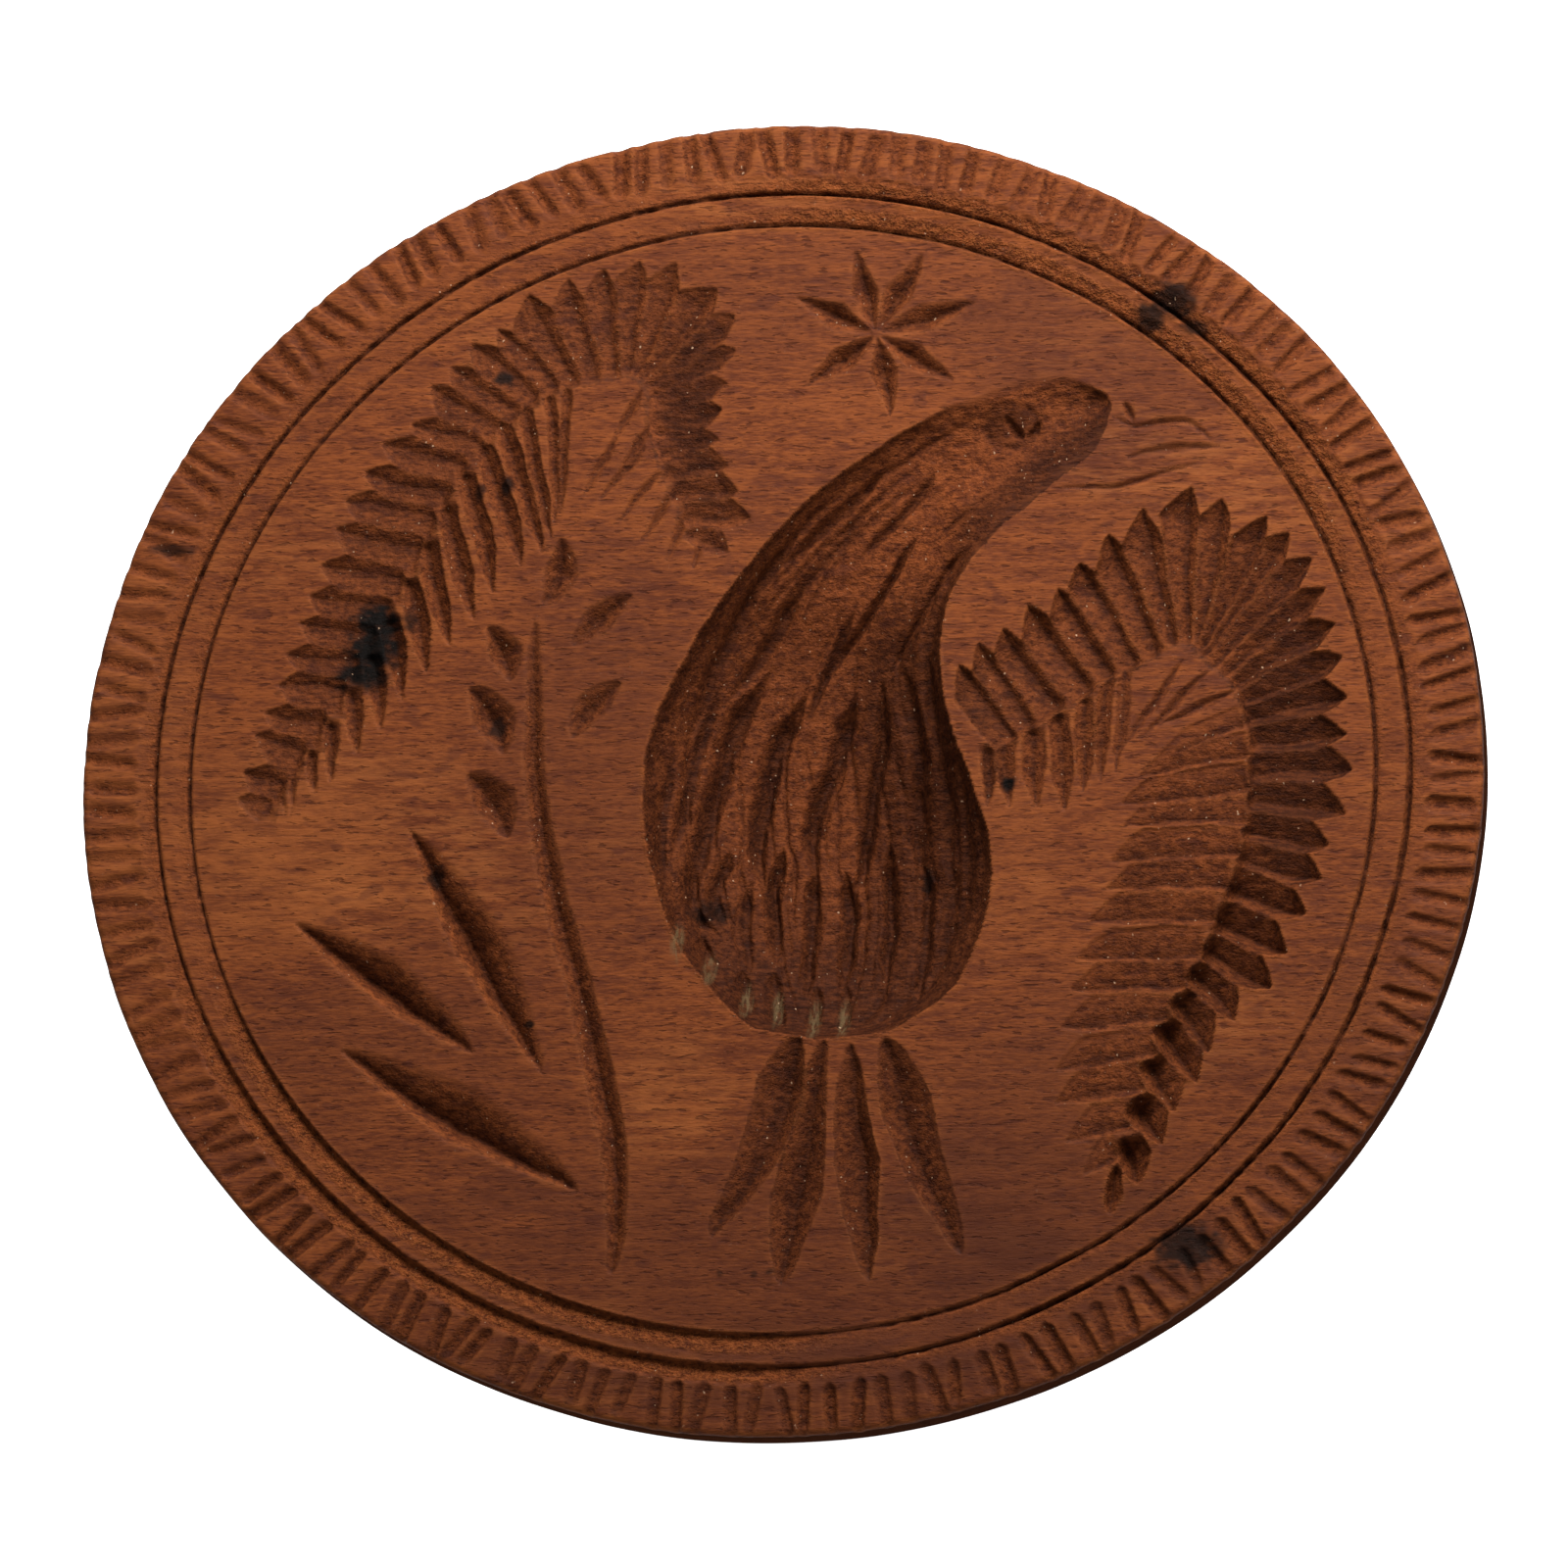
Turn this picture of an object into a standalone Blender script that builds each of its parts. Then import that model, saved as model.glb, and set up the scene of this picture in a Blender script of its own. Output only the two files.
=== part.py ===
"""A carved wooden butter print: a round print head pushed onto the tenon of a turned handle.

The print stands face up on the flat end of its handle. The origin is the centre of that
flat end, +Z runs up the handle to the carved face, +X follows the grain of the head, and
+Y points to the star. The picture is cut into the face, so that it stands proud on butter.
All named sizes are in millimetres and become metres when a vertex is made.
"""
import math

import bmesh
import bpy
from mathutils import Vector

MM = 0.001

# Driving dimensions of the head
DISC_RADIUS = 55.0          # along the grain; the disc has shrunk across it
SHRINK = 0.945              # width across the grain over width along it
FACE_Z = 88.5               # height of the flat field of the face
BAND_HEIGHT = 3.6           # upright side of the disc, below its worn edge
EDGE_WEAR = 0.4             # rounding of the disc's edges
FIELD_RADIUS = 46.3         # flat field inside the inner ring
BEAD_IN = 48.3              # crown of the bead between the two rings
BEAD_OUT = 48.9
BORDER_RADIUS = 50.5        # inner edge of the notched border
RING_DEPTH = 1.1
BOSS_RADIUS = 16.0          # boss on the back that takes the handle
ROUND_TO = 18.0             # the shrinkage starts outside the boss
SHRUNK_FROM = 40.0          # and is complete from here outwards
HEAD_SEGMENTS = 64
# Radius and height down the back, from the upright edge to the boss
BACK = [(46.0, 81.6), (34.0, 77.8), (24.5, 73.8), (19.0, 69.0), (16.7, 64.0)]

# The joint between head and handle
SHOULDER_Z = 60.0           # seat of the head on the handle
GAP = 0.3                   # clearance between touching faces
TENON_LENGTH = 16.0
TENON_RADIUS = 9.8          # at the shoulder
TENON_TAPER = 0.5           # how much thinner the tenon is at its end
SOCKET_END_ROOM = 1.5       # air above the end of the tenon

# The handle
FOOT_RADIUS = 16.0
SEAT_RADIUS = 15.0
SEAT_HEIGHT = 3.0           # collar under the head
HANDLE_WEAR = 0.8           # rounding of the handle's edges
HANDLE_SEGMENTS = 40
# Radius and height down the grip: waist, then knob
GRIP = [
    (12.6, 54.0), (10.9, 46.0), (10.7, 37.0), (13.0, 27.0), (16.9, 17.5), (18.5, 10.0), (17.5, 3.0),
]
GRIP_STEPS = 3              # points from one grip radius to the next

# Depths of the carving
CUTTER_RISE = 1.0           # how far a cutter stands out of the face
NOTCHES = 163
NOTCH_WIDTH = 0.58          # part of the pitch that is cut away
NOTCH_STEEP = 0.15          # part of the width under the steep wall
NOTCH_DEPTH_IN = 0.45
NOTCH_DEPTH_OUT = 0.7
LEAFLET_DEPTH = 1.1
LEAFLET_FILL = 0.86         # leaflet width over the distance to its neighbour
ROOT_GAP = 0.35             # uncut wood between a leaflet's root and the rib of its frond

# The bird's hollow: centre x, y, half width and depth from the tail end to the tip of the head
BIRD = [
    (3.6, -20.3, 2.0, 0.5),
    (3.8, -18.8, 7.0, 2.6),
    (3.9, -15.5, 10.6, 4.8),
    (3.4, -8.5, 13.2, 6.4),
    (2.4, -2.0, 13.0, 6.5),
    (1.8, 4.5, 11.4, 6.0),
    (2.6, 10.5, 9.6, 4.9),
    (5.2, 15.8, 8.2, 3.9),
    (9.2, 20.6, 6.6, 2.8),
    (14.4, 24.8, 5.6, 2.0),
    (18.8, 27.2, 4.7, 1.6),
    (22.4, 28.5, 3.6, 1.3),
    (24.8, 28.7, 1.6, 0.6),
]
HOLLOW_SIDES = 8

# Fronds: pairs of rib point and leaflet tip, with the leaflets between them spaced evenly
LEFT_FROND_OUTER = [
    ((-40.5, -1.5), (-43.0, -1.0)),
    ((-35.5, 6.0), (-39.6, 8.0)),
    ((-30.0, 15.0), (-36.3, 17.4)),
    ((-25.5, 24.0), (-31.6, 26.9)),
    ((-20.3, 30.3), (-24.7, 34.9)),
    ((-13.8, 32.3), (-14.5, 40.6)),
    ((-11.0, 31.0), (-4.0, 36.6)),
    ((-10.0, 26.0), (-5.2, 27.0)),
    ((-6.5, 19.5), (-2.6, 19.8)),
]
LEFT_FROND_INNER = [
    ((-39.6, -0.8), (-39.0, -2.2)),
    ((-35.6, 4.8), (-35.2, 0.5)),
    ((-31.0, 12.0), (-29.6, 6.8)),
    ((-26.4, 21.0), (-24.3, 13.0)),
    ((-20.5, 28.6), (-19.8, 19.6)),
    ((-12.2, 30.6), (-15.2, 21.6)),
    ((-10.4, 25.4), (-11.6, 18.8)),
    ((-7.2, 19.4), (-5.6, 17.0)),
]
RIGHT_FROND_OUTER = [
    ((17.5, 4.0), (13.8, 8.8)),
    ((25.5, 8.0), (21.7, 14.8)),
    ((31.7, 10.8), (31.6, 22.4)),
    ((34.4, 10.0), (41.3, 16.9)),
    ((36.5, 4.6), (44.2, 5.6)),
    ((36.7, -5.0), (43.2, -6.0)),
    ((33.8, -13.0), (38.5, -17.0)),
    ((29.0, -23.6), (31.2, -26.8)),
    ((26.4, -32.0), (26.0, -35.4)),
]
RIGHT_FROND_INNER = [
    ((17.8, 2.8), (17.0, -2.8)),
    ((21.9, 5.2), (21.8, -2.2)),
    ((28.4, 8.4), (26.2, 1.0)),
    ((34.4, 8.0), (28.0, 1.6)),
    ((36.0, 0.5), (26.7, -1.8)),
    ((35.4, -6.5), (25.7, -8.0)),
    ((32.8, -13.5), (22.8, -14.5)),
    ((29.4, -20.0), (21.5, -22.0)),
    ((27.0, -27.5), (22.6, -29.4)),
]
OUTER_STEP = 4              # leaflets from one outer pair to the next
INNER_STEP = 3
OUTER_WIDEST = 0.7          # where a leaflet is widest, from the rib to its tip
INNER_WIDEST = 0.45

# Single chips: start, end, width and depth
LEAVES = [
    ((-29.0, -3.7), (-18.5, -23.0), 3.2, 1.8),
    ((-37.7, -11.0), (-24.0, -21.2), 3.0, 1.7),
    ((-34.0, -21.2), (-15.6, -32.2), 3.4, 1.8),
]
SEEDS = [
    ((-17.6, 19.3), (-18.7, 14.2), 1.8, 0.9),
    ((-12.1, 14.5), (-16.2, 10.9), 1.6, 0.8),
    ((-12.9, 7.6), (-16.3, 3.6), 1.8, 0.8),
    ((-23.1, 12.2), (-21.5, 8.1), 1.8, 1.0),
    ((-24.3, 7.3), (-21.9, 2.4), 2.2, 1.1),
    ((-24.6, 0.5), (-21.5, -4.2), 2.4, 1.1),
]
TAIL = [
    ((-4.9, -36.8), (1.2, -21.4), 3.0, 1.3),
    ((1.0, -39.8), (4.2, -22.0), 3.2, 1.4),
    ((7.8, -40.0), (6.2, -22.0), 2.6, 1.4),
    ((14.9, -38.0), (9.0, -21.4), 3.4, 1.3),
]
STAR_CENTRE = (7.0, 35.2)
STAR_TIPS = [
    (5.4, 41.9), (10.7, 41.5), (14.9, 37.6), (13.2, 31.3), (8.3, 28.6), (1.7, 31.1), (0.6, 38.3),
]
STAR_HUB = 0.9              # uncut centre of the star
STAR_WIDTH = 1.4
STAR_DEPTH = 0.7

# Stem: x, y, width and depth from the top down
STEM = [
    (-19.4, 12.6, 0.4, 0.2),
    (-19.5, 6.0, 1.2, 0.5),
    (-19.2, -1.0, 1.3, 0.6),
    (-18.0, -8.0, 1.4, 0.7),
    (-15.8, -16.0, 1.4, 0.8),
    (-13.6, -25.0, 1.9, 1.0),
    (-12.5, -32.0, 2.0, 1.0),
    (-12.8, -38.9, 0.3, 0.2),
]


def on_curve(points, position):
    """A point on the smooth curve through the points; position 0 is the first, 1 the second."""
    last = len(points) - 1
    index = min(int(position), last - 1)
    t = position - index
    before = points[max(index - 1, 0)]
    start = points[index]
    end = points[index + 1]
    after = points[min(index + 2, last)]
    result = []
    for a, b, c, d in zip(before, start, end, after):
        bend = (2 * a - 5 * b + 4 * c - d) * t * t + (3 * b - a - 3 * c + d) * t ** 3
        result.append(0.5 * (2 * b + (c - a) * t + bend))
    return result


def smooth(value):
    """0 below 0, 1 above 1, with level ends between."""
    value = min(max(value, 0.0), 1.0)
    return value * value * (3.0 - 2.0 * value)


def squeeze(radius):
    """How much of its width the head keeps across the grain at this distance from its axis."""
    share = smooth((radius - ROUND_TO) / (SHRUNK_FROM - ROUND_TO))
    return 1.0 - (1.0 - SHRINK) * share


def wood(name, colour, roughness):
    material = bpy.data.materials.new(name)
    material.use_nodes = True
    shader = material.node_tree.nodes["Principled BSDF"]
    shader.inputs["Base Color"].default_value = (*colour, 1.0)
    shader.inputs["Roughness"].default_value = roughness
    shader.inputs["Metallic"].default_value = 0.0
    return material


def new_object(name, bm, material=None):
    bmesh.ops.recalc_face_normals(bm, faces=bm.faces)
    mesh = bpy.data.meshes.new(name)
    bm.to_mesh(mesh)
    bm.free()
    obj = bpy.data.objects.new(name, mesh)
    bpy.context.scene.collection.objects.link(obj)
    if material:
        mesh.materials.append(material)
    return obj


def turn(name, profile, segments, material):
    """A turned solid from (radius, z) points whose first and last lie on the axis."""
    bm = bmesh.new()
    verts = [bm.verts.new((radius * MM, 0.0, z * MM)) for radius, z in profile]
    edges = [bm.edges.new(pair) for pair in zip(verts, verts[1:])]
    bmesh.ops.spin(
        bm, geom=verts + edges, cent=(0, 0, 0), axis=(0, 0, 1), angle=2 * math.pi,
        steps=segments, use_merge=True)
    bmesh.ops.remove_doubles(bm, verts=bm.verts, dist=1e-6)
    return new_object(name, bm, material)


def shade(obj):
    obj.data.shade_smooth()
    obj.data.set_sharp_from_angle(angle=math.radians(30))


def loft(bm, loops):
    """Close a tube of equal loops, with a flat cap on each end."""
    rings = [[bm.verts.new(Vector(point) * MM) for point in loop] for loop in loops]
    for ring, following in zip(rings, rings[1:]):
        count = len(ring)
        for i in range(count):
            j = (i + 1) % count
            bm.faces.new((ring[i], ring[j], following[j], following[i]))
    bm.faces.new(rings[0])
    bm.faces.new(list(reversed(rings[-1])))


def cut_section(centre, across, half_left, half_right, depth):
    """Five points of a V cut that opens upwards through the face."""
    x, y = centre
    left = (x + across.x * half_left, y + across.y * half_left)
    right = (x - across.x * half_right, y - across.y * half_right)
    top = FACE_Z + CUTTER_RISE
    return [
        (*left, top), (*left, FACE_Z), (x, y, FACE_Z - depth), (*right, FACE_Z), (*right, top),
    ]


def add_chip(bm, start, end, width, depth, widest=0.5):
    """One chip: a long kite on the face whose four sides fall to a single deep point."""
    start = Vector(start)
    end = Vector(end)
    across = (end - start).orthogonal().normalized() * width / 2
    middle = start.lerp(end, widest)
    outline = (start, middle + across, end, middle - across)
    top = [bm.verts.new((p.x * MM, p.y * MM, (FACE_Z + CUTTER_RISE) * MM)) for p in outline]
    rim = [bm.verts.new((p.x * MM, p.y * MM, FACE_Z * MM)) for p in outline]
    keel = bm.verts.new((middle.x * MM, middle.y * MM, (FACE_Z - depth) * MM))
    bm.faces.new(top)
    for i in range(4):
        j = (i + 1) % 4
        bm.faces.new((top[i], rim[i], rim[j], top[j]))
        bm.faces.new((rim[i], keel, rim[j]))


def add_leaflets(bm, pairs, step, widest):
    """Cut one side of a frond, each leaflet as wide as the room between its neighbours."""
    count = (len(pairs) - 1) * step + 1
    roots = [Vector(on_curve([pair[0] for pair in pairs], i / step)) for i in range(count)]
    tips = [Vector(on_curve([pair[1] for pair in pairs], i / step)) for i in range(count)]
    middles = [root.lerp(tip, widest) for root, tip in zip(roots, tips)]
    for i in range(count):
        near = [middles[j] for j in (i - 1, i + 1) if 0 <= j < count]
        along = (tips[i] - roots[i]).normalized()
        spacing = min(abs((other - middles[i]).cross(along)) for other in near)
        root = roots[i] + along * ROOT_GAP
        add_chip(bm, root, tips[i], spacing * LEAFLET_FILL, LEAFLET_DEPTH, widest)


def add_notches(bm):
    """Short cuts across the border, each with a steep wall and a gentle one."""
    pitch = 2 * math.pi / NOTCHES
    for i in range(NOTCHES):
        angle = i * pitch
        out = Vector((math.cos(angle), math.sin(angle)))
        across = Vector((-out.y, out.x))
        loops = []
        for radius, depth in ((BORDER_RADIUS, NOTCH_DEPTH_IN), (DISC_RADIUS + 1, NOTCH_DEPTH_OUT)):
            width = NOTCH_WIDTH * pitch * radius
            steep = width * NOTCH_STEEP
            section = cut_section(out * radius, across, steep, width - steep, depth)
            loops.append([(x, y * SHRINK, z) for x, y, z in section])
        loft(bm, loops)


def add_stem(bm):
    loops = []
    for i, (x, y, width, depth) in enumerate(STEM):
        before = Vector(STEM[max(i - 1, 0)][:2])
        after = Vector(STEM[min(i + 1, len(STEM) - 1)][:2])
        across = (after - before).orthogonal().normalized()
        loops.append(cut_section((x, y), across, width / 2, width / 2, depth))
    loft(bm, loops)


def add_bird(bm):
    """The hollow of the bird: bowl-shaped sections along the line from tail to head."""
    loops = []
    for i, (x, y, half, depth) in enumerate(BIRD):
        before = Vector(BIRD[max(i - 1, 0)][:2])
        after = Vector(BIRD[min(i + 1, len(BIRD) - 1)][:2])
        across = (after - before).orthogonal().normalized()
        loop = [(x - across.x * half, y - across.y * half, FACE_Z + CUTTER_RISE)]
        for side in range(HOLLOW_SIDES + 1):
            angle = math.pi * side / HOLLOW_SIDES
            reach = -half * math.cos(angle)
            drop = depth * math.sin(angle)
            loop.append((x + across.x * reach, y + across.y * reach, FACE_Z - drop))
        loop.append((x + across.x * half, y + across.y * half, FACE_Z + CUTTER_RISE))
        loops.append(loop)
    loft(bm, loops)


def cut(target, name, fill):
    """Subtract what fill() draws into a mesh from the target."""
    bm = bmesh.new()
    fill(bm)
    cutter = new_object(name, bm)
    cutter.hide_render = True
    cutter.display_type = "WIRE"
    modifier = target.modifiers.new(name, "BOOLEAN")
    modifier.operation = "DIFFERENCE"
    modifier.solver = "EXACT"
    modifier.object = cutter


def head_profile():
    face = FACE_Z
    low = FACE_Z - RING_DEPTH
    band_low = FACE_Z - BAND_HEIGHT - EDGE_WEAR
    seat = SHOULDER_Z + GAP
    socket_end = SHOULDER_Z + TENON_LENGTH + SOCKET_END_ROOM
    mouth = TENON_RADIUS + GAP
    return [
        (0.0, face),
        (FIELD_RADIUS - 0.2, face),
        (FIELD_RADIUS + 0.2, low),
        (BEAD_IN, face - 0.15),
        (BEAD_OUT, face - 0.1),
        (BEAD_OUT + 0.3, low),
        (BORDER_RADIUS, face - 0.2),
        (BORDER_RADIUS + 0.4, face),
        (DISC_RADIUS - EDGE_WEAR, face),
        (DISC_RADIUS, face - EDGE_WEAR),
        (DISC_RADIUS, band_low + EDGE_WEAR),
        (DISC_RADIUS - EDGE_WEAR, band_low),
        *BACK,
        (BOSS_RADIUS, seat + 1.0),
        (BOSS_RADIUS - 1.0, seat),
        (mouth, seat),
        (mouth - TENON_TAPER, socket_end),
        (0.0, socket_end),
    ]


def make_head(material):
    head = turn("print_head", head_profile(), HEAD_SEGMENTS, material)
    for vert in head.data.vertices:
        vert.co.y *= squeeze(math.hypot(vert.co.x, vert.co.y) / MM)
    cut(head, "cut_notches", add_notches)
    cut(head, "cut_bird", add_bird)

    def outer_leaflets(bm):
        add_leaflets(bm, LEFT_FROND_OUTER, OUTER_STEP, OUTER_WIDEST)
        add_leaflets(bm, RIGHT_FROND_OUTER, OUTER_STEP, OUTER_WIDEST)

    def inner_leaflets(bm):
        add_leaflets(bm, LEFT_FROND_INNER, INNER_STEP, INNER_WIDEST)
        add_leaflets(bm, RIGHT_FROND_INNER, INNER_STEP, INNER_WIDEST)

    def single_chips(bm):
        for start, end, width, depth in LEAVES + SEEDS:
            add_chip(bm, start, end, width, depth)
        for tip, root, width, depth in TAIL:
            add_chip(bm, tip, root, width, depth, widest=0.35)
        centre = Vector(STAR_CENTRE)
        for tip in STAR_TIPS:
            hub = centre + (Vector(tip) - centre).normalized() * STAR_HUB
            add_chip(bm, hub, tip, STAR_WIDTH, STAR_DEPTH)
        add_stem(bm)

    cut(head, "cut_outer_leaflets", outer_leaflets)
    cut(head, "cut_inner_leaflets", inner_leaflets)
    cut(head, "cut_chips", single_chips)
    shade(head)
    return head


def handle_profile():
    tenon_end = SHOULDER_Z + TENON_LENGTH
    slim = TENON_RADIUS - TENON_TAPER
    steps = (len(GRIP) - 1) * GRIP_STEPS
    grip = [tuple(on_curve(GRIP, i / GRIP_STEPS)) for i in range(steps + 1)]
    return [
        (0.0, tenon_end),
        (slim - HANDLE_WEAR, tenon_end),
        (slim, tenon_end - HANDLE_WEAR),
        (TENON_RADIUS, SHOULDER_Z),
        (SEAT_RADIUS - HANDLE_WEAR, SHOULDER_Z),
        (SEAT_RADIUS, SHOULDER_Z - HANDLE_WEAR),
        (SEAT_RADIUS, SHOULDER_Z - SEAT_HEIGHT),
        *grip,
        (FOOT_RADIUS + HANDLE_WEAR, HANDLE_WEAR),
        (FOOT_RADIUS, 0.0),
        (0.0, 0.0),
    ]


def make_handle(material):
    handle = turn("handle", handle_profile(), HANDLE_SEGMENTS, material)
    shade(handle)
    return handle


def main():
    for obj in list(bpy.context.scene.objects):
        bpy.data.objects.remove(obj, do_unlink=True)
    make_head(wood("waxed_print_wood", (0.17, 0.062, 0.026), 0.45))
    make_handle(wood("waxed_handle_wood", (0.15, 0.055, 0.024), 0.42))


main()
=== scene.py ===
"""Looks of the carved butter print: the carved head and the turned handle as fine meshes.

Lengths in this script are millimetres in the row frame, and become metres when a mesh is made.
The face is a height field: every cut is a depth below the flat field, evaluated where the mesh
has its points, and the same field gives the wear, dirt and tool-mark masks of the material,
with a painted highlight on the worn edges and painted shade mixed into the dirt of the cuts.
"""

import math

import bpy
import numpy as np
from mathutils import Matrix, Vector


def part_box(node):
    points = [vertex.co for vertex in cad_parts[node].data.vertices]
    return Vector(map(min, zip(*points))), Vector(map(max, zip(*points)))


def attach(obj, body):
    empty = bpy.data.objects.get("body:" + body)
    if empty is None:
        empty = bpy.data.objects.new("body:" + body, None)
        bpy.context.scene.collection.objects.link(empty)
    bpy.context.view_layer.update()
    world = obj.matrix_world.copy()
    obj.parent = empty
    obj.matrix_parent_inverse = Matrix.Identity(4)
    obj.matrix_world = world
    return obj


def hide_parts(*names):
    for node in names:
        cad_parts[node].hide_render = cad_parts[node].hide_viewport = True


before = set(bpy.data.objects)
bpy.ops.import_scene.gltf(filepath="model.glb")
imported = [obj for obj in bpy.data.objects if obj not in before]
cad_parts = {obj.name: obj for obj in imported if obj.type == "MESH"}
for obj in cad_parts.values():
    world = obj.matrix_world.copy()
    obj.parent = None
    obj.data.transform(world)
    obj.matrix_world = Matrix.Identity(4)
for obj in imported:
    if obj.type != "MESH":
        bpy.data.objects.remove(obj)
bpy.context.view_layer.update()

MM = 0.001
head_low, head_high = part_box("print_head")
_, handle_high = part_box("handle")
DISC_RADIUS = head_high.x / MM
SHRINK = head_high.y / head_high.x
FACE_Z = head_high.z / MM
BOSS_END = head_low.z / MM
TENON_END = handle_high.z / MM

# Head, as in the CAD
EDGE_WEAR = 0.45            # rounding of the disc's edges
BAND_LOW = FACE_Z - 4.0     # lower end of the upright side
BACK = [(46, 81.6), (34, 77.8), (24.5, 73.8), (19, 69), (16.7, 64)]
BOSS_RADIUS = 16.0
SOCKET_MOUTH = 10.1
SOCKET_END = (9.6, 77.5)
ROUND_TO = 18.0
SHRUNK_FROM = 40.0

# Handle, as in the CAD
GRIP = [
    (12.6, 54.0), (10.9, 46.0), (10.7, 37.0), (13.0, 27.0), (16.9, 17.5), (18.5, 10.0), (17.5, 3.0),
]
SHOULDER_Z = BOSS_END - 0.3
TENON_RADIUS = 9.8
TENON_TIP_RADIUS = 9.3
SEAT_RADIUS = 15.0
FOOT_RADIUS = 16.0
HANDLE_WEAR = 0.8
HANDLE_COLUMNS = 256

# Face mesh
COLUMNS = 2048              # points round the outer rings; halved towards the centre
RING_STEP = 0.17
HALVINGS = [27, 13.6, 6.8, 3.4, 1.7]

# The two turned lines, and the slopes beside them: radius and depth
LINES = [
    (46.26, 0), (46.34, 0.2), (46.42, 0.75), (46.54, 0.75), (46.64, 0.2), (46.7, 0), (48.9, 0),
    (49, 0.3), (49.08, 0.85), (49.22, 0.85), (49.32, 0.25), (49.4, 0),
]
SLOPES = [
    (46.3, 0), (46.5, 0.6), (46.9, 0.45), (48.2, 0.06), (48.9, 0), (49.1, 0.65), (49.3, 0.6),
    (50.3, 0.25), (50.8, 0),
]
TORN_BANDS = [(46.4, 48.2), (49.1, 50.5)]

# Notches of the border
NOTCHES = 163
NOTCH_INNER = 50.3
NOTCH_OUTER = 55.1
NOTCH_DEPTH = 0.6

# The bird's hollow, from the tail end to the tip of the head: left x, y, right x, y, depth
BIRD = [
    (2, -20.5, 5, -20.5, 0.3), (-2.2, -19.4, 9.3, -19.7, 2), (-5.4, -16.4, 12.8, -17.4, 3.8),
    (-8.2, -12.4, 15, -14.2, 5.1), (-10, -7.6, 16.4, -9.8, 5.9),
    (-10.8, -1.5, 16.3, -4.5, 6.2), (-10.2, 3.8, 14.6, 0.4, 6), (-8.4, 8.2, 13.1, 4.4, 5.6),
    (-6.3, 12.2, 12.3, 9, 5), (-3.6, 16, 12.6, 12.8, 3.8), (-0.3, 20, 13.6, 15.3, 3),
    (3.3, 23.3, 15, 17.4, 2.4), (7, 25.8, 17, 19.7, 2), (11, 28.3, 19.5, 21.8, 1.6),
    (14.8, 30, 22, 23.8, 1.3), (18.2, 31.2, 24, 25.5, 1.1), (21.4, 31.6, 25, 27, 1),
    (23.6, 31, 25.5, 28.6, 0.8), (25.1, 30.1, 25.5, 29.5, 0.1),
]

# Gouge strokes inside the hollow: path, width and depth
FEATHERS = [
    ([(-5.6, 7.4), (-6.9, 3.6), (-7.9, -0.6), (-8.6, -4.8)], 1.5, 0.5),
    ([(-2.2, 8.4), (-4.3, 4.7), (-5.6, 0.2), (-6.6, -3.8), (-7.3, -8.4)], 2.2, 0.9),
    ([(0.6, 6.4), (-1.1, 3.1), (-2.1, -1), (-2.6, -4.8), (-2, -7.4)], 2.4, 0.9),
    ([(4.9, 6.4), (3.8, 2.6), (2.4, -0.5), (1.6, -3.6), (1.9, -6.2)], 2.3, 0.9),
    ([(7.4, 7.2), (7.3, 3.4), (6.6, 0), (6.2, -3.4), (5.4, -7.6)], 1.7, 0.9),
    ([(9.4, 7.6), (10.3, 2.6), (10.3, -1.6), (10.4, -5), (10.8, -8)], 2.2, 0.9),
    ([(11.3, 8.4), (12.2, 3), (12.8, -2.4), (13.1, -8)], 1.8, 0.6),
    ([(14, 0), (14.6, -4.6), (14.4, -9.6), (12.6, -14.2)], 1.5, 0.35),
    ([(-4.9, -5.6), (-5.6, -8.4), (-4.8, -10.6)], 1.8, 0.6),
    ([(-7.6, -6.6), (-7.3, -9.6), (-5.6, -11.4)], 1.5, 0.5),
    ([(-0.7, -5.4), (-1.2, -8.4), (-0.9, -12.6)], 1.8, 0.8),
    ([(1.9, -6.6), (1.9, -9.6), (1.7, -15)], 1.6, 0.8),
    ([(4.5, -7.4), (4.9, -11), (4.4, -15)], 2.1, 0.8),
    ([(8, -5.6), (8.1, -9.6), (7.9, -14.8)], 1.7, 0.9),
    ([(10.8, -7), (11.2, -10.6), (10.7, -16)], 1.7, 0.8),
    ([(13.3, -8), (12.8, -11.8), (11.7, -15.4)], 1.6, 0.45),
    ([(-8.9, 1.6), (-9.5, -2.6), (-9.4, -7.4)], 1.2, 0.35),
    ([(-3, -8), (-3.3, -10.8), (-2.9, -13.8)], 1.5, 0.45),
    ([(11, 23.6), (8.8, 20.9), (6.2, 18.4)], 1.1, 0.5),
    ([(9.4, 18.4), (7.2, 14.9), (5, 11.9), (2.8, 8.8)], 1.1, 0.65),
    ([(14.3, 18), (12.5, 16.2), (10.7, 13.6), (8.6, 9.6)], 1.6, 0.7),
    ([(0.4, 14.6), (-1.6, 11.4), (-4, 8)], 1.5, 0.6),
    ([(0, 18.6), (-3, 14.4), (-5.6, 9.4), (-7.4, 4.6)], 1.5, 0.55),
    ([(5.5, 20.6), (2.4, 17.1), (-0.2, 14)], 1.2, 0.5),
    ([(7.2, 24.1), (4.6, 21.5), (1.5, 18.9), (-0.7, 17.1)], 1, 0.5),
    ([(13.8, 16.8), (11.8, 12), (11.2, 7.6), (11.8, 3.4)], 1.8, 0.7),
    ([(4.4, 12.6), (2.6, 8.6), (1.4, 5.8)], 1.2, 0.4),
    ([(15.2, 21.8), (12.8, 20)], 0.9, 0.2),
]
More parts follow.
